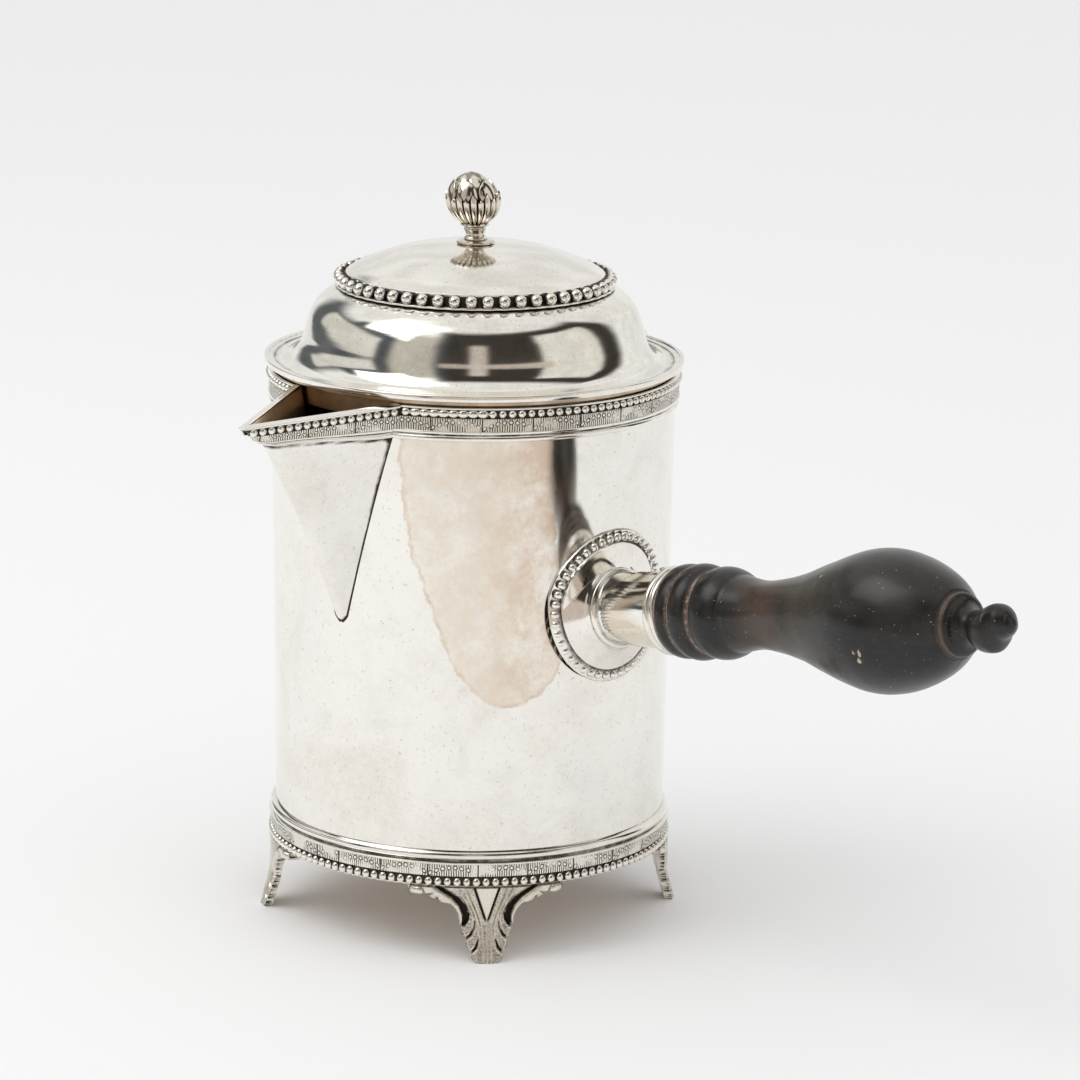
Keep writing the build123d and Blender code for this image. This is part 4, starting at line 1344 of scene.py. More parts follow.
@dataclass(frozen=True)
class ScrollFoot:
    """A cast foot: two scrolled arms, a plain panel between leaf bands, and three pairs of leaf tips."""

    can: Can
    name: str
    turn: float

    def edge(self, count: int) -> Array:
        """Right half of the outline, from the top corner down to the middle.

        Args:
            count: how many points come back, evenly spaced.

        Returns:
            Their (sideways, height), shape (count, 2).
        """
        top = self.can.foot_height
        stretches = [
            arc((18.6, top), (19.7, top - 0.8), (18.2, top - 1.6), 24),
            arc((18.2, top - 1.6), (16.4, top - 1.8), (14.6, top - 1.3), 14),
            arc((14.6, top - 1.3), (14.6, top - 2.4), (12.9, top - 2.9), 18),
            arc((12.9, top - 2.9), (12.2, top - 3.7), (10.4, top - 3.8), 16),
            arc((10.4, top - 3.8), (8.0, 13.4), (7.0, 9.6), 36),
            np.array([(7.0, 9.6), (6.2, 9.3)]),
            arc((6.2, 9.3), (6.3, 7.6), (4.9, 6.3), 22),
            arc((4.9, 6.3), (5.2, 4.3), (3.8, 2.8), 22),
            arc((3.8, 2.8), (3.8, 1.1), (2.6, 0), 22),
            np.array([(2.6, 0), (0, 0)]),
        ]
        line = np.concatenate(stretches)
        line = line[np.insert(np.linalg.norm(np.diff(line, axis=0), axis=1) > 1e-6, 0, True)]
        length = np.insert(np.cumsum(np.linalg.norm(np.diff(line, axis=0), axis=1)), 0, 0)
        at = np.linspace(0, length[-1], count)
        return np.stack([np.interp(at, length, line[:, 0]), np.interp(at, length, line[:, 1])], 1)

    def relief(self, x: Array, z: Array, share: Array) -> tuple:
        """Height of the carving at a place on the foot's front, and where it is stippled.

        Formula: a raised triangle with a groove round it; a hollow inside the arm that is steep at the
        arm and fades inwards; the arm as half a round roll; a cut between one leaf tip and the next that
        fades as it runs inwards, with a thin ridge on each side; ridges that flow down from the top; and
        an edge that rounds away near the outline, where share is 1.

        Args:
            x: distance sideways from the middle, not negative.
            z: height.
            share: 0 at the middle and 1 at the outline.

        Returns:
            Height in millimetres outwards, and a share that is 1 on the stippled ground.
        """
        top = self.can.foot_height
        lean = math.atan2(2.85, top - 10.6)
        beside = x * math.cos(lean) - (z - 10.6) * math.sin(lean)
        panel = step(0.05, -0.12, beside) * step(10.4, 10.8, z)
        height = 0.3 * panel - 0.75 * bump(beside, 0.3, 0.24) * step(10.2, 11.6, z)
        middle = np.interp(z, [9.0, 10.5, 12.2, 14.6, 16.6, 18.2, top],
                           [6.3, 5.75, 5.7, 6.6, 8.4, 10.9, 12.8])
        off = x - middle
        height = height - 1.2 * bump(off, 0.0, np.where(off > 0, 0.45, 1.5)) * step(8.9, 9.9, z)
        reach = np.maximum(x / np.maximum(share, 0.05) - middle - 0.4, 0.01)
        roll = np.sqrt(np.clip(1 - ((off - 0.4) / reach * 2 - 1) ** 2, 0, 1)) * step(9.3, 9.9, z)
        height = height + 0.5 * roll
        ridge = np.exp(-((x / 0.22) ** 2)) * step(10.6, 10.0, z)
        for line in ([(1.1, 0.3), (0.95, 5), (1.1, 9), (1.9, 12), (3.35, 16), (4.5, top)],
                     [(2.5, 3.3), (1.95, 6.5), (2.05, 9.5), (2.9, 12.5), (4.4, 15.6), (5.9, top)],
                     [(3.9, 7.0), (3.35, 9.5), (3.9, 12.6), (5.6, 16), (7.6, top)]):
            gap, run = near(x, z, line)
            ridge = np.maximum(ridge, bump(gap, 0.0, 0.2) * step(0.0, 0.12, run))
        for line in ([(7.2, 9.4), (5.8, 9.5), (4.9, 10.8), (4.6, 12.5)],
                     [(5.2, 6.2), (4.1, 7.1), (3.3, 8.8), (3.0, 11.0)],
                     [(4.1, 2.7), (2.9, 3.8), (2.1, 5.8), (1.7, 8.6)],
                     [(16.0, 17.3), (14.4, 17.4), (13.4, 18.2)],
                     [(12.2, 15.4), (12.6, 16.6), (13.6, 16.9)]):
            gap, run = near(x, z, line)
            height = height - 1.1 * bump(gap, 0.0, 0.26) * (1 - run) ** 0.8
            ridge = np.maximum(ridge, 0.9 * bump(gap, 0.52, 0.17) * (1 - 0.7 * run))
        ridge = ridge * (1 - panel) * step(0.45, 0.8, beside + 2 * (z < 10.4)) * step(0.3, -0.6, off)
        lobe = np.sqrt(np.clip(1 - ((x - 17.9) ** 2 + (z - 17.9) ** 2) / 1.7**2, 0, 1))
        height = height + 0.32 * ridge + 0.7 * lobe - 0.5 * step(0.88, 1.0, share) ** 2
        return height, np.clip(1 - panel - 0.8 * roll - ridge - lobe, 0, 1)

    def half(self, rows: int, cols: int) -> tuple:
        """Right half of the front.

        Formula: each row is a curve from a point on the middle line to a point on the outline; it
        starts down the middle and bends out, as the leaves do.

        Args:
            rows: curves down the foot.
            cols: points on each.

        Returns:
            Sideways, height, carving and stipple, each (rows, cols).
        """
        edge = self.edge(rows)
        t = np.linspace(0, 1, rows)
        top = self.can.foot_height
        start = np.interp(t, [0, 0.1, 0.42, 0.62, 0.75, 0.88, 0.96, 1.0],
                          [top, top - 0.3, 15.2, 11.2, 8.6, 4.8, 1.4, 0])
        share = np.linspace(0, 1, cols)[None]
        x = edge[:, :1] * share
        sag = share**1.35
        z = start[:, None] + (edge[:, 1:] - start[:, None]) * sag
        return x, z, *self.relief(x, z, np.broadcast_to(share, x.shape))

    def build(self, finishes: Finishes) -> None:
        """Makes the foot: its carved front, its plain back, and the edge between them.

        Args:
            finishes: the jug's finishes.
        """
        x, z, height, stipple = self.half(210, 76)
        top = self.can.foot_height
        share = z / top
        base = self.can.base_radius
        front = base + np.interp(share, [0, 0.25, 0.5, 0.75, 1], [3.9, 2.5, 1.32, 1.3, 1.5])
        back = base + np.interp(share, [0, 0.25, 0.5, 0.75, 1], [1.4, 0.4, -0.55, -0.95, -1.2])
        # Painted shade: darker where the carving lies below its surroundings and in its deepest cuts; the
        # plain back and the outline's edge are painted darker too.
        hollow = np.clip((spread_mean(height, 5) - height) / 0.16, 0, 1) * 0.75 + step(-0.25, -0.85, height)
        skins = []
        turn = math.radians(self.turn)
        for side in (1, -1):
            skins.append(Skin(self.place(x * side, z, front + height, turn), band=stipple,
                              grime=np.clip(hollow, 0, 1.0), inside_out=side > 0))
            skins.append(Skin(self.place(x * side, z, back, turn), inside_out=side < 0, grime=0.45))
            rim = [self.place(x[:, -1:] * side, z[:, -1:], r[:, -1:], turn) for r in (front + height, back)]
            skins.append(Skin(np.concatenate(rim, 1), inside_out=side > 0, grime=0.2))
            lid = [self.place(x[:1] * side, z[:1], r[:1], turn) for r in (back, front + height)]
            skins.append(Skin(np.concatenate(lid, 0), inside_out=side > 0))
        weave("cast_" + self.name, skins, [finishes.cast], "jug", self.name, crease=60)

    @staticmethod
    def place(x: Array, z: Array, radius: Array, turn: float) -> Array:
        """Points on a foot.

        Args:
            x: distances sideways.
            z: heights.
            radius: distances from the jug's axis.
            turn: the foot's own turn, in radians.

        Returns:
            The points.
        """
        out = np.sqrt(radius**2 - x**2)
        return np.stack(np.broadcast_arrays(x * math.cos(turn) + out * math.sin(turn),
                                            x * math.sin(turn) - out * math.cos(turn), z), -1)


@dataclass(frozen=True)
class HandleSeat:
    """Where the handle leaves the body, and the directions along and across it."""

    can: Can
    turn: float = 83.0
    height: float = 90.0
    tilt: float = 8.9
    boss_reach: float = 2.9
    plate_height: float = 90.3

    @property
    def out(self) -> Array:
        """Level direction away from the body."""
        return around(1.0, math.radians(self.turn), 0.0)

    @property
    def side(self) -> Array:
        """Level direction along the wall, away from the spout."""
        return around(1.0, math.radians(self.turn + 90), 0.0)

    def carry(self, skin: Skin) -> Skin:
        """Moves a skin that was turned about Z onto the handle's axis.

        Args:
            skin: the skin, which is changed.

        Returns:
            The same skin.
        """
        tilt = math.radians(self.tilt)
        axis = self.out * math.cos(tilt) + np.array([0, 0, math.sin(tilt)])
        up = np.cross(axis, self.side)
        reach = self.can.radius(self.plate_height) + self.boss_reach
        seat = self.out * reach + np.array([0, 0, self.height])
        p = skin.points
        skin.points = seat + p[..., :1] * self.side + p[..., 1:2] * up + p[..., 2:] * axis
        return skin


@dataclass(frozen=True)
class HandlePlate:
    """The round plate behind the handle, bent to the wall, with a bead border and a flared middle."""

    seat: HandleSeat
    radius: float = 19.5
    step_radius: float = 16.3
    edge: float = 0.9
    boss_radius: float = 10.6
    bead_radius: float = 1.25
    bead_count: int = 44

    def build(self, finishes: Finishes) -> None:
        """Makes the plate and its beads.

        Formula: at a distance from its centre the plate stands a stated height off the wall, whose
        distance from the axis shrinks to the sides as a circle does; in the middle it leaves the wall
        on a cone that ends square to the handle.

        Args:
            finishes: the jug's finishes.
        """
        can, seat = self.seat.can, self.seat
        rho = np.concatenate([
            [self.boss_radius - 2.2, self.boss_radius - 0.4], np.linspace(self.boss_radius, 15.6, 30),
            [15.9, 16.2, 16.32, 16.4, 16.55, 18.95, 19.05, 19.2, 19.4, 19.5, 19.52, 19.7]])[:, None]
        spin = np.linspace(0, math.tau, 241)[None]
        x, z = rho * np.cos(spin), seat.plate_height + rho * np.sin(spin)
        lift = np.interp(rho, [0, 15.4, 15.9, 16.2, 16.4, 16.55, 18.95, 19.05, 19.4, 19.5],
                         [1.5, 1.5, 1.5, 1.45, 1.0, 0.6, 0.55, 0.7, 0.7, 0.5])
        lift[-2:] = [[0.06], [0.03]]
        bent = np.sqrt((can.radius(z) + lift) ** 2 - x**2)
        plate_wall = can.radius(seat.plate_height)
        tilt = math.tan(math.radians(seat.tilt))
        flat = plate_wall + seat.boss_reach - (z - seat.height) * tilt - 0.05
        cone = flat - 3.5 * (np.clip((rho - self.boss_radius) / 5.2, 0, 2)) ** 0.75
        over = np.maximum(bent, np.where(rho <= self.boss_radius, flat, cone))
        points = seat.out * over[..., None] + seat.side * x[..., None] + np.array([0, 0, 1.0]) * z[..., None]
        # Painted shade: darker in the bead channel, at the step just inside it, and on the plate's edge
        # against the wall.
        grime = (0.9 * bump(rho, 16.65, 0.35) + 0.8 * ((rho > 16.7) & (rho < 18.9))
                 + 0.35 * bump(rho, 15.7, 0.3) + 1.0 * (rho > 19.6))
        weave("handle_plate", [Skin(points, grime=grime, inside_out=True)], [finishes.plate], "jug",
              "escutcheon", crease=45)
        ring = (self.radius + self.step_radius) / 2
        angle = math.tau * np.arange(self.bead_count) / self.bead_count
        side, z = ring * np.cos(angle), seat.plate_height + ring * np.sin(angle)
        off = can.radius(z) + self.edge + 0.03
        turn = math.radians(seat.turn) + np.arcsin(side / off)
        out = around(1.0, turn, 0.0)
        sideways = around(1.0, turn + math.pi / 2, 0.0)
        spoke = np.cos(angle)[:, None] * sideways + np.sin(angle)[:, None] * np.array([0, 0, 1.0])
        beads = balls(around(off + 0.4, turn, z), out, spoke, self.bead_radius, stretch=0.9, depth=88)
        weave("plate_beads", [beads], [finishes.trim], "jug", "escutcheon_beads", crease=80)


@dataclass(frozen=True)
class HandleFittings:
    """Socket, ferrule with a saw-cut fish mouth, two wires and a pin."""

    seat: HandleSeat
    socket_radius: float = 9.05
    collar_radius: float = 10.2
    ferrule_radius: float = 9.5
    ferrule_end: float = 9.9
    length: float = 23.2
    notch: float = 9.6
    start: float = 8.4
    teeth: int = 58
    tooth: float = 0.5
    bore: float = 8.15
    socket_length: float = 11.0
    pin_place: float = 17.5

    def build(self, finishes: Finishes) -> None:
        """Makes the four pieces.

        Formula of the seam: the ferrule starts where a circle of the notch's radius, drawn across the
        handle's side view, has passed; a triangle wave of small teeth is added to it.

        Args:
            finishes: the jug's finishes.
        """
        collar = self.collar_radius
        socket = flow([(collar, 0.02), (collar + 0.05, 0.5), (collar - 0.3, 1.0),
                       (self.socket_radius + 0.3, 1.3), (self.socket_radius, 1.9)], 14)
        profile = np.concatenate([[(self.bore, 0.02)], socket,
                                  [(self.socket_radius, self.socket_length), (self.bore, self.socket_length),
                                   (self.bore, 0.02)]])
        # Painted shade in the groove round the socket.
        crevice = np.where(np.abs(profile[:, 1] - 1.5) < 0.35, 0.55, 0.0)
        weave("socket", [self.seat.carry(lathe(profile, 160, grime=crevice))], [finishes.trim], "jug",
              "handle_socket", crease=50)
        spin = np.linspace(0, math.tau, self.teeth * 8 + 1)[None]
        wire_start = self.length - 4.0
        across = self.ferrule_radius * np.sin(spin)
        mouth = np.maximum(self.start - self.notch + np.sqrt(np.maximum(self.notch**2 - across**2, 0)), 2.7)
        saw = np.abs((spin * self.teeth / math.tau) % 1 - 0.5) * 2 * self.tooth
        first = mouth + saw
        share = np.linspace(0, 1, 40)[:, None] ** 1.6
        along = first + (self.length - first) * share
        flare = (self.ferrule_end - self.ferrule_radius) * step(first, wire_start, along)
        radius = self.ferrule_radius + flare - 0.12 * (1 - step(0.0, 0.3, along - first))
        outer = around(radius, spin, along)
        inner = around(self.socket_radius + 0.03, spin, first)
        # Painted shade along the ferrule's saw-cut mouth and on its step; the end face is painted a little
        # darker too.
        skins = [Skin(outer, grime=1.2 * (1 - step(0.25, 0.5, along - first))),
                 Skin(np.concatenate([inner, outer[:1]]), grime=0.9)]
        end = [(self.ferrule_end, self.length), (8.63, self.length), (8.63, self.length - 3),
               (9.08, self.length - 12)]
        skins.append(lathe(np.array(end), self.teeth * 8, grime=0.3))
        weave("ferrule", [self.seat.carry(s) for s in skins], [finishes.plate], "jug", "handle_ferrule",
              crease=50)
        wires = []
        for i in range(2):
            low = wire_start + 2.0 * i
            ring = arc((self.ferrule_end, low + 0.05), (self.ferrule_end + 1.38, low + 1.0),
                       (self.ferrule_end, low + 1.95), 18)
            # Painted shade where each wire meets the ferrule.
            dark = 0.8 * (1 - step(self.ferrule_end, self.ferrule_end + 0.5, ring[:, 0]))
            wires.append(self.seat.carry(lathe(ring, 200, grime=dark)))
        weave("end_wires", wires, [finishes.trim], "jug", "ferrule_wires", crease=50)
        head = np.array([(0.8, 7.6), (0.8, 10.25), (1.2, 10.3), (1.3, 10.55), (1.05, 10.85), (0.5, 11.0),
                         (0.0, 11.02)])
        # Painted shade under the pin's head.
        pin = lathe(head, 32, grime=np.array([0, 0.6, 0.8, 0.2, 0, 0, 0]))
        p = pin.points.copy()
        pin.points = np.stack([p[..., 0], p[..., 2] - 0.05, self.pin_place - p[..., 1]], -1)
        weave("pin", [self.seat.carry(pin)], [finishes.trim], "jug", "handle_pin", crease=50)


@dataclass(frozen=True)
class WoodenGrip:
    """The turned handle: tenon, two rings, a long neck, a bulb and a knob with a chipped end."""

    seat: HandleSeat
    start: float = 23.4
    ring: float = 11.9
    tenon: float = 8.6
    tenon_start: float = 11.5
    columns: int = 220

    def profile(self) -> Array:
        """The turning's outline.

        Returns:
            (radius, distance from the boss) points.
        """
        g, ring = self.start, self.ring
        pieces = [
            np.array([(0, self.tenon_start), (self.tenon, self.tenon_start), (self.tenon, g),
                      (ring - 0.5, g + 0.02)]),
            arc((ring - 0.4, g + 0.1), (ring, g + 2.2), (ring - 0.4, g + 4.2), 14),
            flow([(ring - 0.5, g + 4.35), (ring - 0.95, g + 4.5), (ring - 0.4, g + 4.7)], 6),
            arc((ring - 0.3, g + 4.8), (ring + 0.2, g + 7.6), (ring - 0.9, g + 10.2), 18),
            flow([(ring - 1.0, g + 10.35), (ring - 1.5, g + 10.8), (ring - 1.15, g + 11.3)], 6),
            arc((ring - 1.1, g + 11.4), (ring - 0.3, g + 14.4), (9.7, g + 20.4), 20)[:-1],
            flow([(9.7, g + 20.4), (8.55, g + 28.0), (9.3, g + 36.2), (11.1, g + 44.4), (13.7, g + 52.3),
                  (15.9, g + 59.4), (17.4, g + 66.0), (17.62, g + 70.5), (16.9, g + 76.0), (15.4, g + 81.0),
                  (11.6, g + 88.2), (8.3, g + 91.8)], 90),
            eased(np.array([(8.3, g + 91.8), (7.8, g + 91.9), (7.8, g + 93.2), (6.9, g + 93.9)]), 0.3, 4,
                  False),
            arc((6.9, g + 93.9), (5.4, g + 94.4), (3.9, g + 96.6), 12),
            arc((3.9, g + 96.7), (6.4, g + 102.2), (3.2, g + 107.6), 30),
            flow([(3.2, g + 107.7), (1.7, g + 108.5), (0.0, g + 108.8)], 8),
        ]
        return np.concatenate(pieces)

    def build(self, finishes: Finishes) -> None:
        """Makes the handle; the profile is turned about its axis, and dents and the chipped end are cut in.

        Formula: the radius loses a bell at each dent; near the end the far side of the knob is cut back
        by a broken edge, so that a nib stands up.

        Args:
            finishes: the jug's finishes.
        """
        profile = self.profile()
        skin = lathe(profile, self.columns)
        radius, along = profile[:, :1], profile[:, 1:]
        spin = np.linspace(0, math.tau, self.columns + 1)[None]
        g = self.start
        chips = np.zeros(skin.points.shape[1:3])
        dents = np.zeros_like(chips)
        for at, turn, wide, tall, deep in ((72.0, -1.30, 1.3, 0.45, 0.2), (72.8, -1.19, 1.2, 0.5, 0.25),
                                           (74.2, -1.28, 1.4, 0.45, 0.2), (73.4, -1.16, 1.3, 0.6, 0.25),
                                           (56.4, -2.5, 0.5, 0.6, 0.15), (80.0, 2.2, 1.1, 0.8, 0.1)):
            gap = (spin - turn) % math.tau
            gap = np.minimum(gap, math.tau - gap)
            spot = np.exp(-((gap * radius / wide) ** 2) - ((along - g - at) / tall) ** 2)
            chips = np.maximum(chips, spot)
            dents = dents + deep * spot
        upper = 0.5 - 0.5 * np.cos(spin + 0.5)
        shrink = dents + radius * (0.42 * bump(along, g + 100.0, 3.2) * upper**2
                                   + 0.45 * step(g + 103.5, g + 105.0, along) * (1 - upper))
        uneven = 0.06 * ripple(spin * 9, along, 3.0, 14.0) * step(g + 20, g + 30, along)
        radial = np.maximum(radius - shrink + np.minimum(uneven, 0.0), 0.0)
        skin.points = around(radial, spin, along)[None]
        wear = 0.8 * bump(along, g + 32, 12)
        for at, wide in ((4.5, 0.5), (10.8, 0.6), (92.4, 0.6), (0.6, 0.7), (5.4, 0.3), (11.8, 0.4)):
            wear = wear + 1.6 * bump(along, g + at, wide)
        skin.band = np.broadcast_to(wear[None], skin.grime.shape)
        skin.grime = chips[None]
        weave("grip", [self.seat.carry(skin)], [finishes.wood], "jug", "wood_handle", crease=55)


@dataclass(frozen=True)
class Lid:
    """The lid: flange, shoulder, dome with its bead ring, and the collar that centres it."""

    can: Can
    lift: float = 1.6
    flange_radius: float = 54.1
    shoulder_radius: float = 43.3
    shoulder_height: float = 19.7
    dome_radius: float = 33.4
    dome_height: float = 11.0
    bead_radius: float = 1.5
    bead_count: int = 52
    dome_wall: float = 0.9
    wire_radius: float = 36.0
    collar_depth: float = 5.0
    collar_gap: float = 0.7

    @property
    def base(self) -> float:
        """Height of the flange's underside."""
        return self.can.lip + self.lift

    @property
    def seat(self) -> float:
        """Height of the flat on which the dome stands."""
        return self.base + self.shoulder_height

    @property
    def top(self) -> float:
        """Height of the dome's top."""
        return self.seat + self.dome_height

    def build(self, finishes: Finishes) -> None:
        """Makes the lid's five pieces; all but the beads are profiles turned about the axis.

        Args:
            finishes: the jug's finishes.
        """
        base, seat = self.base, self.seat
        flange, shoulder = self.flange_radius, self.shoulder_radius
        outer = np.concatenate([
            eased(np.array([(flange - 5.8, base), (flange, base), (flange, base + 1.5),
                            (flange - 0.9, base + 1.5), (flange - 1.1, base + 1.0),
                            (flange - 2.5, base + 1.0), (flange - 2.6, base + 0.8),
                            (flange - 4.6, base + 0.8)]), 0.22, 4, False),
            flow([(flange - 4.6, base + 0.8), (47.1, base + 1.75), (45.4, base + 3.6), (44.4, base + 5.8),
                  (43.85, base + 8.0), (43.2, base + 10.2), (42.3, base + 12.6), (40.7, seat - 4.3),
                  (38.2, seat - 2.0), (34.8, seat)], 90)[1:],
            np.array([(31.0, seat), (31.0, seat - 1.0)])])
        inner = np.concatenate([
            arc((34.4, seat - 1.0), (shoulder - 3.8, seat - 4.8), (shoulder - 1, base + 10.0), 30),
            arc((shoulder - 1, base + 7.8), (44.4, base + 3.0), (flange - 5.8, base), 20)])
        # Painted shade: darker on the flange's two steps and where the shoulder meets the dome.
        edge = (0.7 * bump(outer[:, 0], flange - 2.6, 0.3) * (outer[:, 1] > base + 0.7)
                + 0.5 * bump(outer[:, 0], flange - 1.1, 0.25) * (outer[:, 1] > base + 0.9)
                + 0.9 * step(36.6, 35.4, outer[:, 0]))
        weave("shoulder", [lathe(outer, 360, grime=edge), lathe(inner, 240, slot=1)],
              [finishes.lid, finishes.inside], "lid", "lid_shoulder", crease=40)
        radius, wall = self.dome_radius, self.dome_wall
        dome = np.concatenate([[(radius, seat), (radius, seat + 2.9)], self.dome_line(0.0)])
        under = np.concatenate([self.dome_line(wall)[::-1], [(radius - wall, seat), (radius, seat)]])
        # Painted shade at the dome's foot, under the beads.
        dark = 0.9 * step(seat + 3.4, seat + 2.4, dome[:, 1])
        weave("dome", [lathe(dome, 360, grime=dark), lathe(under, 240, slot=1)],
              [finishes.lid, finishes.inside], "lid", "lid_dome", crease=40)
        edge = self.wire_radius
        wire = loop(eased(np.array([(radius, seat), (edge, seat), (edge, seat + 0.5),
                                    (radius + 0.5, seat + 0.8), (radius + 0.5, seat + 2.9),
                                    (radius, seat + 3.1)]), 0.2, 4))
        # Painted shade on the inner edge of the bead wire, under the beads.
        scallop = lathe(wire, self.bead_count * 8, grime=0.95 * step(edge, edge - 0.4, wire[:, 0]))
        spin = np.linspace(0, math.tau, self.bead_count * 8 + 1)[None]
        notch = 0.22 * (0.5 + 0.5 * np.cos(spin * self.bead_count)) * step(edge - 1, edge, wire[:, :1])
        scallop.points = around(wire[:, :1] - notch, spin, wire[:, 1:])[None]
        weave("bead_seat", [scallop], [finishes.trim], "lid", "lid_bead_wire", crease=50)
        turn = math.tau * (np.arange(self.bead_count) + 0.5) / self.bead_count
        out = around(0.94, turn, 0.34)
        up = around(-0.34, turn, 0.94)
        beads = balls(around(34.85, turn, seat + 1.9), out, up, self.bead_radius * 1.13,
                      stretch=0.98, depth=140)
        weave("dome_beads", [beads], [finishes.trim], "lid", "lid_beads", crease=80)
        lip, rim = self.can.lip + 0.3, self.can.rim_radius
        skirt, foot = rim - self.can.wall - self.collar_gap, lip - self.collar_depth
        collar = loop(eased(np.array([(skirt - 0.9, foot), (skirt, foot), (skirt, lip), (rim, lip),
                                      (rim, base), (skirt - 0.9, base)]), 0.15, 4))
        # The collar is painted faintly darker, as shade.
        weave("collar", [lathe(collar, 300, grime=0.1)], [finishes.inside], "lid", "lid_bezel", crease=50)

    def dome_line(self, inset: float) -> Array:
        """The dome's sweep from its skirt to its middle.

        Args:
            inset: how far inside the dome's outside it runs.

        Returns:
            (radius, height) points.
        """
        low = self.seat + 3.0
        rise = self.dome_height - 3.0
        radius = self.dome_radius
        points = [(radius - inset, low - inset * 0.3), (radius - inset, low + 0.25 - inset)]
        for share, height in ((0.972, 0.12), (0.93, 0.225), (0.81, 0.435), (0.58, 0.76), (0.3, 0.935),
                              (0.15, 0.982)):
            points.append((radius * share - inset * 0.3, low - inset * 0.9 + rise * height))
        return flow(points + [(1.6, self.top - inset)], 80)


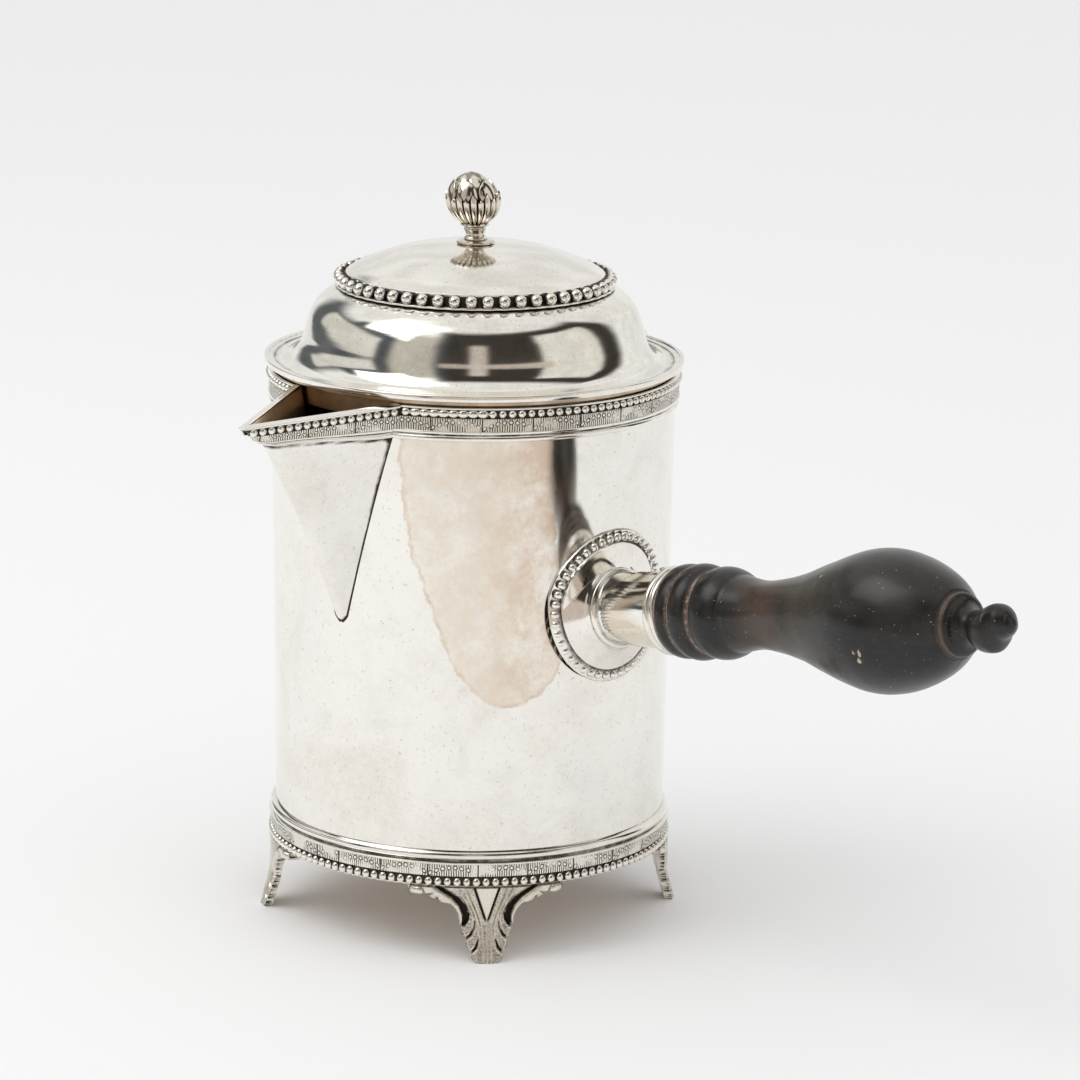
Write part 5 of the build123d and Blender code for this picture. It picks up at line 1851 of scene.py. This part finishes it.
@dataclass(frozen=True)
class Finial:
    """The finial: a pedestal, a bud of petals in a leafy cup, and the stud and nut that hold it."""

    lid: Lid
    leaves: int = 22
    petals: int = 6
    lean: float = 0.073
    bud_height: float = 13.2
    bud_seat: float = 5.2
    foot_radius: float = 4.95
    thread: float = 0.7
    stud_radius: float = 1.49
    nut_height: float = 2.0
    nut_bore: float = 1.53
    nut_flat: float = 3.0

    def bud(self, base: float) -> Skin:
        """The bud.

        Formula: its outline, pushed in square to itself. Below, each narrow leaf is a round ridge between
        grooves painted dark as shade, and every second one ends lower on a point. Above, each petal is round
        across and ends on an arch, and the row behind fills the gaps between the arches, with painted shade
        under them.

        Args:
            base: height of its underside.

        Returns:
            The skin.
        """
        outline = np.concatenate([
            [(0.0, base), (3.0, base)],
            arc((3.4, base + 0.02), (6.2, base + 2.7), (7.2, base + 6.0), 72),
            arc((7.2, base + 6.0), (6.2, base + 10.0), (3.9, base + 12.5), 90)[1:],
            flow([(3.9, base + 12.5), (2.2, base + 13.05), (0.0, base + 13.18)], 30)[1:]])
        way = np.gradient(outline, axis=0)
        way /= np.linalg.norm(way, axis=1)[:, None]
        spin = np.linspace(0, math.tau, 433)[None]
        rise = (outline[:, 1:] - base) / self.bud_height

        def cell(count: int, shift: float) -> Array:
            """Place across one of count equal cells, from -1 to 1."""
            return ((spin * count / math.tau + shift) % 1 - 0.5) * 2

        leaf = np.abs(cell(self.leaves, 0.0))
        long_tip = 0.63 - 0.24 * np.abs(cell(self.leaves // 2, 0.25))
        tip = np.maximum(long_tip, 0.53 - 0.24 * np.abs(cell(self.leaves // 2, 0.75)))
        cup = step(tip + 0.012, tip - 0.012, rise)
        front, behind = np.abs(cell(self.petals, 0.1)), np.abs(cell(self.petals, 0.6))
        arch, high = 0.895 - 0.2 * front**2, 0.985 - 0.06 * behind**2
        first = step(arch + 0.012, arch - 0.012, rise) * (1 - cup)
        second = step(high + 0.008, high - 0.008, rise) * (1 - cup) * (1 - first)
        third = (1 - cup) * (1 - first) * (1 - second)
        cut = (cup * 0.8 * leaf**3 + first * (0.45 + 0.9 * front**4) + second * (1.0 + 0.5 * behind**4)
               + third * 1.2) * np.minimum(outline[:, :1] / 5, 1)
        # Painted shade: darker in the grooves between the leaves, just above the leaf tips, at the petals'
        # edges, just above the front petals' arches, and on the innermost petals.
        grime = (cup * step(0.55, 0.95, leaf)
                 + first * (step(0.8, 1.0, front) + bump(rise, tip + 0.02, 0.02))
                 + second * (0.9 * bump(rise, arch + 0.015, 0.02) + 0.6 * step(0.85, 1.0, behind))
                 + third * 0.7)
        radial = np.maximum(outline[:, :1] - cut * way[:, 1:], 0.0)
        return Skin(around(radial, spin, outline[:, 1:] + cut * way[:, :1]), grime=np.clip(grime, 0, 1))

    def tilt(self, skin: Skin) -> Skin:
        """Leans a skin to the left of the camera, more the higher its points lie over the dome.

        Args:
            skin: the skin, which is changed.

        Returns:
            The same skin.
        """
        lift = np.maximum(skin.points[..., 2:] - self.lid.top, 0.0)
        skin.points = skin.points + lift * self.lean * np.array([-0.769, -0.639, 0.0])
        return skin

    def build(self, finishes: Finishes) -> None:
        """Makes the pedestal, the bud, the stud and the nut.

        Args:
            finishes: the jug's finishes.
        """
        top = self.lid.top
        base, radius = top + self.bud_seat, self.foot_radius
        foot = eased(np.array([(1.6, top), (radius, top), (radius, top + 0.55), (3.3, top + 0.75)]), 0.15,
                     4, False)
        stem = flow([(2.95, top + 0.9), (3.0, top + 1.2), (2.6, top + 1.7), (2.5, top + 2.8),
                     (2.75, top + 3.3), (2.9, top + 3.65), (2.65, top + 4.0), (2.9, top + 4.35),
                     (3.7, top + 4.7), (3.6, base)], 60)
        outline = np.concatenate([foot, stem, [(1.6, base), (1.6, top)]])
        # Painted shade in the pedestal's three grooves.
        ring = sum(deep * bump(outline[:, 1], top + at, 0.14)
                   for at, deep in ((4.25, 0.8), (0.95, 0.8), (3.45, 0.5)))
        weave("pedestal", [self.tilt(lathe(outline, 160, grime=ring))], [finishes.bud], "lid",
              "finial_pedestal", crease=45)
        weave("bud", [self.tilt(self.bud(base))], [finishes.bud], "lid", "finial_bud", crease=60)
        nut = top - self.lid.dome_wall - self.nut_height
        z = np.linspace(nut - 1.2, top + 2.5, 96)
        ridge = self.stud_radius - 0.16 * np.abs((z / self.thread) % 1 - 0.5) * 2
        stud = np.concatenate([[(0, z[0])], np.stack([ridge, z], 1), [(0, z[-1])]])
        weave("stud", [lathe(stud, 48)], [finishes.trim], "lid", "finial_stud", crease=50)
        self.build_nut(nut - 0.25, finishes)

    def build_nut(self, low: float, finishes: Finishes) -> None:
        """Makes the nut: a hexagon whose corners are turned down at both ends.

        Formula: the radius at a turn is the flat's distance over the cosine of the angle off that flat,
        and is limited near both ends.

        Args:
            low: height of its underside.
            finishes: the jug's finishes.
        """
        bore = self.nut_bore
        z = np.array([0, 0.01, 0.3, 1.7, 1.99, self.nut_height])[:, None]
        cap = np.array([bore, 2.85, 3.45, 3.45, 2.85, bore])[:, None]
        spin = np.linspace(0, math.tau, 121)[None]
        off = (spin + math.pi / 6) % (math.pi / 3) - math.pi / 6
        radius = np.minimum(self.nut_flat / np.cos(off), cap)
        radius[0] = radius[-1] = bore
        hole = around(bore, spin, low + np.array([[self.nut_height], [0.0]]))
        weave("nut", [Skin(around(radius, spin, low + z)), Skin(hole)], [finishes.trim], "lid",
              "finial_nut", crease=30)


@dataclass(frozen=True)
class Hinge:
    """The hinge behind the lid: five knuckles on a pin, with a leaf on the body and one on the lid."""

    def build(self, finishes: Finishes) -> None:
        """Dresses the frame's own leaves and pin, whose shape is the hinge's own.

        Args:
            finishes: the jug's finishes.
        """
        for node in ("hinge_body_leaf", "hinge_lid_leaf", "hinge_pin"):
            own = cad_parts[node]
            own.data.materials.clear()
            own.data.materials.append(finishes.trim)
            LOG.info("%s: the frame's own mesh", node)


# The studio


@dataclass(frozen=True)
class Panel:
    """A patch of the room that the metal sees.

    Turns are degrees off the camera's own turn, towards the handle, and levels degrees over the horizon.
    """

    turns: tuple
    levels: tuple
    colour: tuple
    soft: float = 3.0

    def inside(self, desk: Desk, turn: object, level: object) -> Socket:
        """A share that is 1 on the patch, with soft edges.

        Args:
            desk: the world's layout.
            turn: turn of the ray, as a node's output.
            level: its level.

        Returns:
            The share.
        """
        share = 1.0
        for value, (low, high) in ((turn, self.turns), (level, self.levels)):
            share = desk.times(share, desk.span(value, low - self.soft, low + self.soft))
            share = desk.times(share, desk.span(value, high + self.soft, high - self.soft))
        return share


@dataclass(frozen=True)
class Studio:
    """Camera, floor, light and what the metal sees round it."""

    turn: float = 39.7
    distance: float = 1275.23
    height: float = 402.48
    pitch: float = 0.2344
    yaw: float = 0.0138
    roll: float = 0.0150
    focal: float = 5040.99
    picture: float = 1080.0
    table_front: float = 0.7
    floor_reach: float = 14.0
    floor_half: float = 6.0
    lamp_size: float = 1.0
    lamp_power: float = 5.0
    lamp_reach: float = 0.92
    lamp_turn: float = -72.0
    lamp_height: float = 1.31
    paper: tuple = (0.91, 0.91, 0.915)
    walls: tuple = (0.95, 0.945, 0.925)
    backdrop: tuple = (0.865, 0.865, 0.87)
    dim: tuple = (0.74, 0.74, 0.74)
    bright: tuple = (1.14, 1.14, 1.13)
    room: tuple = (
        Panel((-155, -100), (-60, 33), (0.13, 0.14, 0.15), 6),
        Panel((-108, -15), (-60, 56), (0.09, 0.10, 0.112), 5),
        Panel((-22, 115), (-60, 56), (0.042, 0.036, 0.03), 5),
        Panel((-135, -72), (8, 27), (0.78, 0.76, 0.71), 2),
        Panel((-60, -28), (-60, 50), (0.62, 0.59, 0.53), 4),
        Panel((48, 96), (-60, 42), (0.86, 0.84, 0.79), 2),
        Panel((-112, -32), (43, 76), (1.25, 1.24, 1.2), 4),
        Panel((-24, 55), (-60, 15), (0.66, 0.57, 0.50), 2),
        Panel((-3, 9), (-60, 33), (0.66, 0.60, 0.54), 2),
    )

    def build_camera(self) -> None:
        """Sets the camera where the photo was taken.

        Formula: the view direction is pitched down and turned aside, the picture's own right and up are
        rolled about it, and all three are turned about the jug's axis.
        """
        pitch, yaw, roll, turn = self.pitch, self.yaw, self.roll, math.radians(self.turn)
        ahead = Vector((math.sin(yaw) * math.cos(pitch), math.cos(yaw) * math.cos(pitch), -math.sin(pitch)))
        right = Vector((math.cos(yaw), -math.sin(yaw), 0.0))
        up = right.cross(ahead)
        side = right * math.cos(roll) + up * math.sin(roll)
        up = up * math.cos(roll) - right * math.sin(roll)
        spin = Matrix.Rotation(turn, 3, "Z")
        axes = Matrix((spin @ side, spin @ up, spin @ -ahead)).transposed()
        place = spin @ Vector((0, -self.distance, self.height)) * MM
        lens = bpy.data.cameras.new("photo_view")
        lens.sensor_width = 36.0
        lens.lens = self.focal / self.picture * 36.0
        lens.clip_start, lens.clip_end = 0.05, 60.0
        camera = bpy.data.objects.new("photo_view", lens)
        camera.matrix_world = Matrix.Translation(place) @ axes.to_4x4()
        bpy.context.scene.collection.objects.link(camera)
        bpy.context.scene.camera = camera

    def build_floor(self) -> None:
        """Lays the pale floor in two planes.

        The metal sees only the part that a table top would fill. The part in front of it is seen by the
        camera alone.
        """
        desk = Desk(bpy.data.materials.new("paper"))
        material = desk.close(Base_Color=(*self.paper, 1), Roughness=0.9, Specular_IOR_Level=0.1)
        turn = math.radians(self.turn)
        sine, cosine, wide = math.sin(turn), math.cos(turn), self.floor_half
        for name, front, behind in (("floor", -self.table_front, self.floor_reach),
                                    ("floor_before_table", -self.floor_reach, -self.table_front)):
            mesh = bpy.data.meshes.new(name)
            corners = [(side * cosine - back * sine, side * sine + back * cosine, 0.0)
                       for side, back in ((-wide, front), (wide, front), (wide, behind), (-wide, behind))]
            mesh.from_pydata(corners, [], [(0, 1, 2, 3)])
            mesh.materials.append(material)
            floor = bpy.data.objects.new(name, mesh)
            bpy.context.scene.collection.objects.link(floor)
        floor.visible_glossy = floor.visible_diffuse = floor.visible_shadow = False

    def build_world(self) -> None:
        """Fills the room: pale to the camera, plain light on matt surfaces, and panels for the metal."""
        world = bpy.data.worlds.new("room")
        bpy.context.scene.world = world
        desk = Desk(world)
        way = desk.place.node.outputs["Generated"]
        x, y, z = desk.parts(way)
        level = desk.times(desk.reckon("ARCSINE", z), math.degrees(1))
        turn = desk.times(desk.reckon("ARCTAN2", x, desk.times(y, -1.0)), math.degrees(1))
        turn = desk.minus(desk.reckon("MODULO", desk.plus(turn, 540.0 - self.turn), 360.0), 180.0)
        uneven = desk.ramp(desk.noise(4.5, 5, 0.6, place=way), (0.38, 0.45), (0.66, 1.0))
        seen = self.walls
        for panel in self.room:
            seen = desk.mix(panel.inside(desk, turn, level), seen, panel.colour)
        seen = desk.mix(0.35, seen, desk.mix(1.0, seen, uneven, "MULTIPLY"))
        path = desk.add("ShaderNodeLightPath")
        own = math.radians(self.turn)
        ahead = desk.plus(desk.times(x, math.sin(own)), desk.times(y, -math.cos(own)))
        plain = desk.mix(desk.span(ahead, -0.5, 0.8), self.dim, self.bright)
        colour = desk.mix(path.outputs["Is Glossy Ray"], plain, seen)
        colour = desk.mix(path.outputs["Is Camera Ray"], colour, self.backdrop)
        shine = desk.add("ShaderNodeBackground")
        desk.feed(shine.inputs[0], colour)
        desk.tree.links.new(shine.outputs[0], desk.add("ShaderNodeOutputWorld").inputs[0])

    def build_lamps(self) -> None:
        """Hangs a broad soft lamp high to the left of the camera."""
        lamp = bpy.data.lights.new("window", "AREA")
        lamp.shape = "SQUARE"
        lamp.size = self.lamp_size
        lamp.energy = self.lamp_power
        turn = math.radians(self.turn + self.lamp_turn)
        place = Vector(around(self.lamp_reach, turn, self.lamp_height))
        lamp_object = bpy.data.objects.new("window", lamp)
        lamp_object.location = place
        lamp_object.rotation_euler = (Vector((0, 0, 0.08)) - place).to_track_quat("-Z", "Y").to_euler()
        bpy.context.scene.collection.objects.link(lamp_object)

    def build(self) -> None:
        """Makes the studio and keeps plain colours in the picture."""
        self.build_camera()
        self.build_floor()
        self.build_world()
        self.build_lamps()
        bpy.context.scene.view_settings.view_transform = "Standard"


def main() -> None:
    """Builds the jug's sub-assemblies in order, then the studio."""
    logging.basicConfig(level=logging.INFO, format="%(message)s")
    finishes = Finishes()
    can = Can()
    beak = Beak(can)
    can.build(beak, finishes)
    beak.build(finishes)
    RimMoulding(can, beak).build(finishes)
    FootMoulding(can).build(finishes)
    for i, name in enumerate(("foot_front_right", "foot_back_right", "foot_back_left", "foot_front_left")):
        ScrollFoot(can, name, 45.0 + 90.0 * i).build(finishes)
    seat = HandleSeat(can)
    HandlePlate(seat).build(finishes)
    HandleFittings(seat).build(finishes)
    WoodenGrip(seat).build(finishes)
    lid = Lid(can)
    lid.build(finishes)
    Finial(lid).build(finishes)
    Hinge().build(finishes)
    Studio().build()


if __name__ == "__main__":
    main()
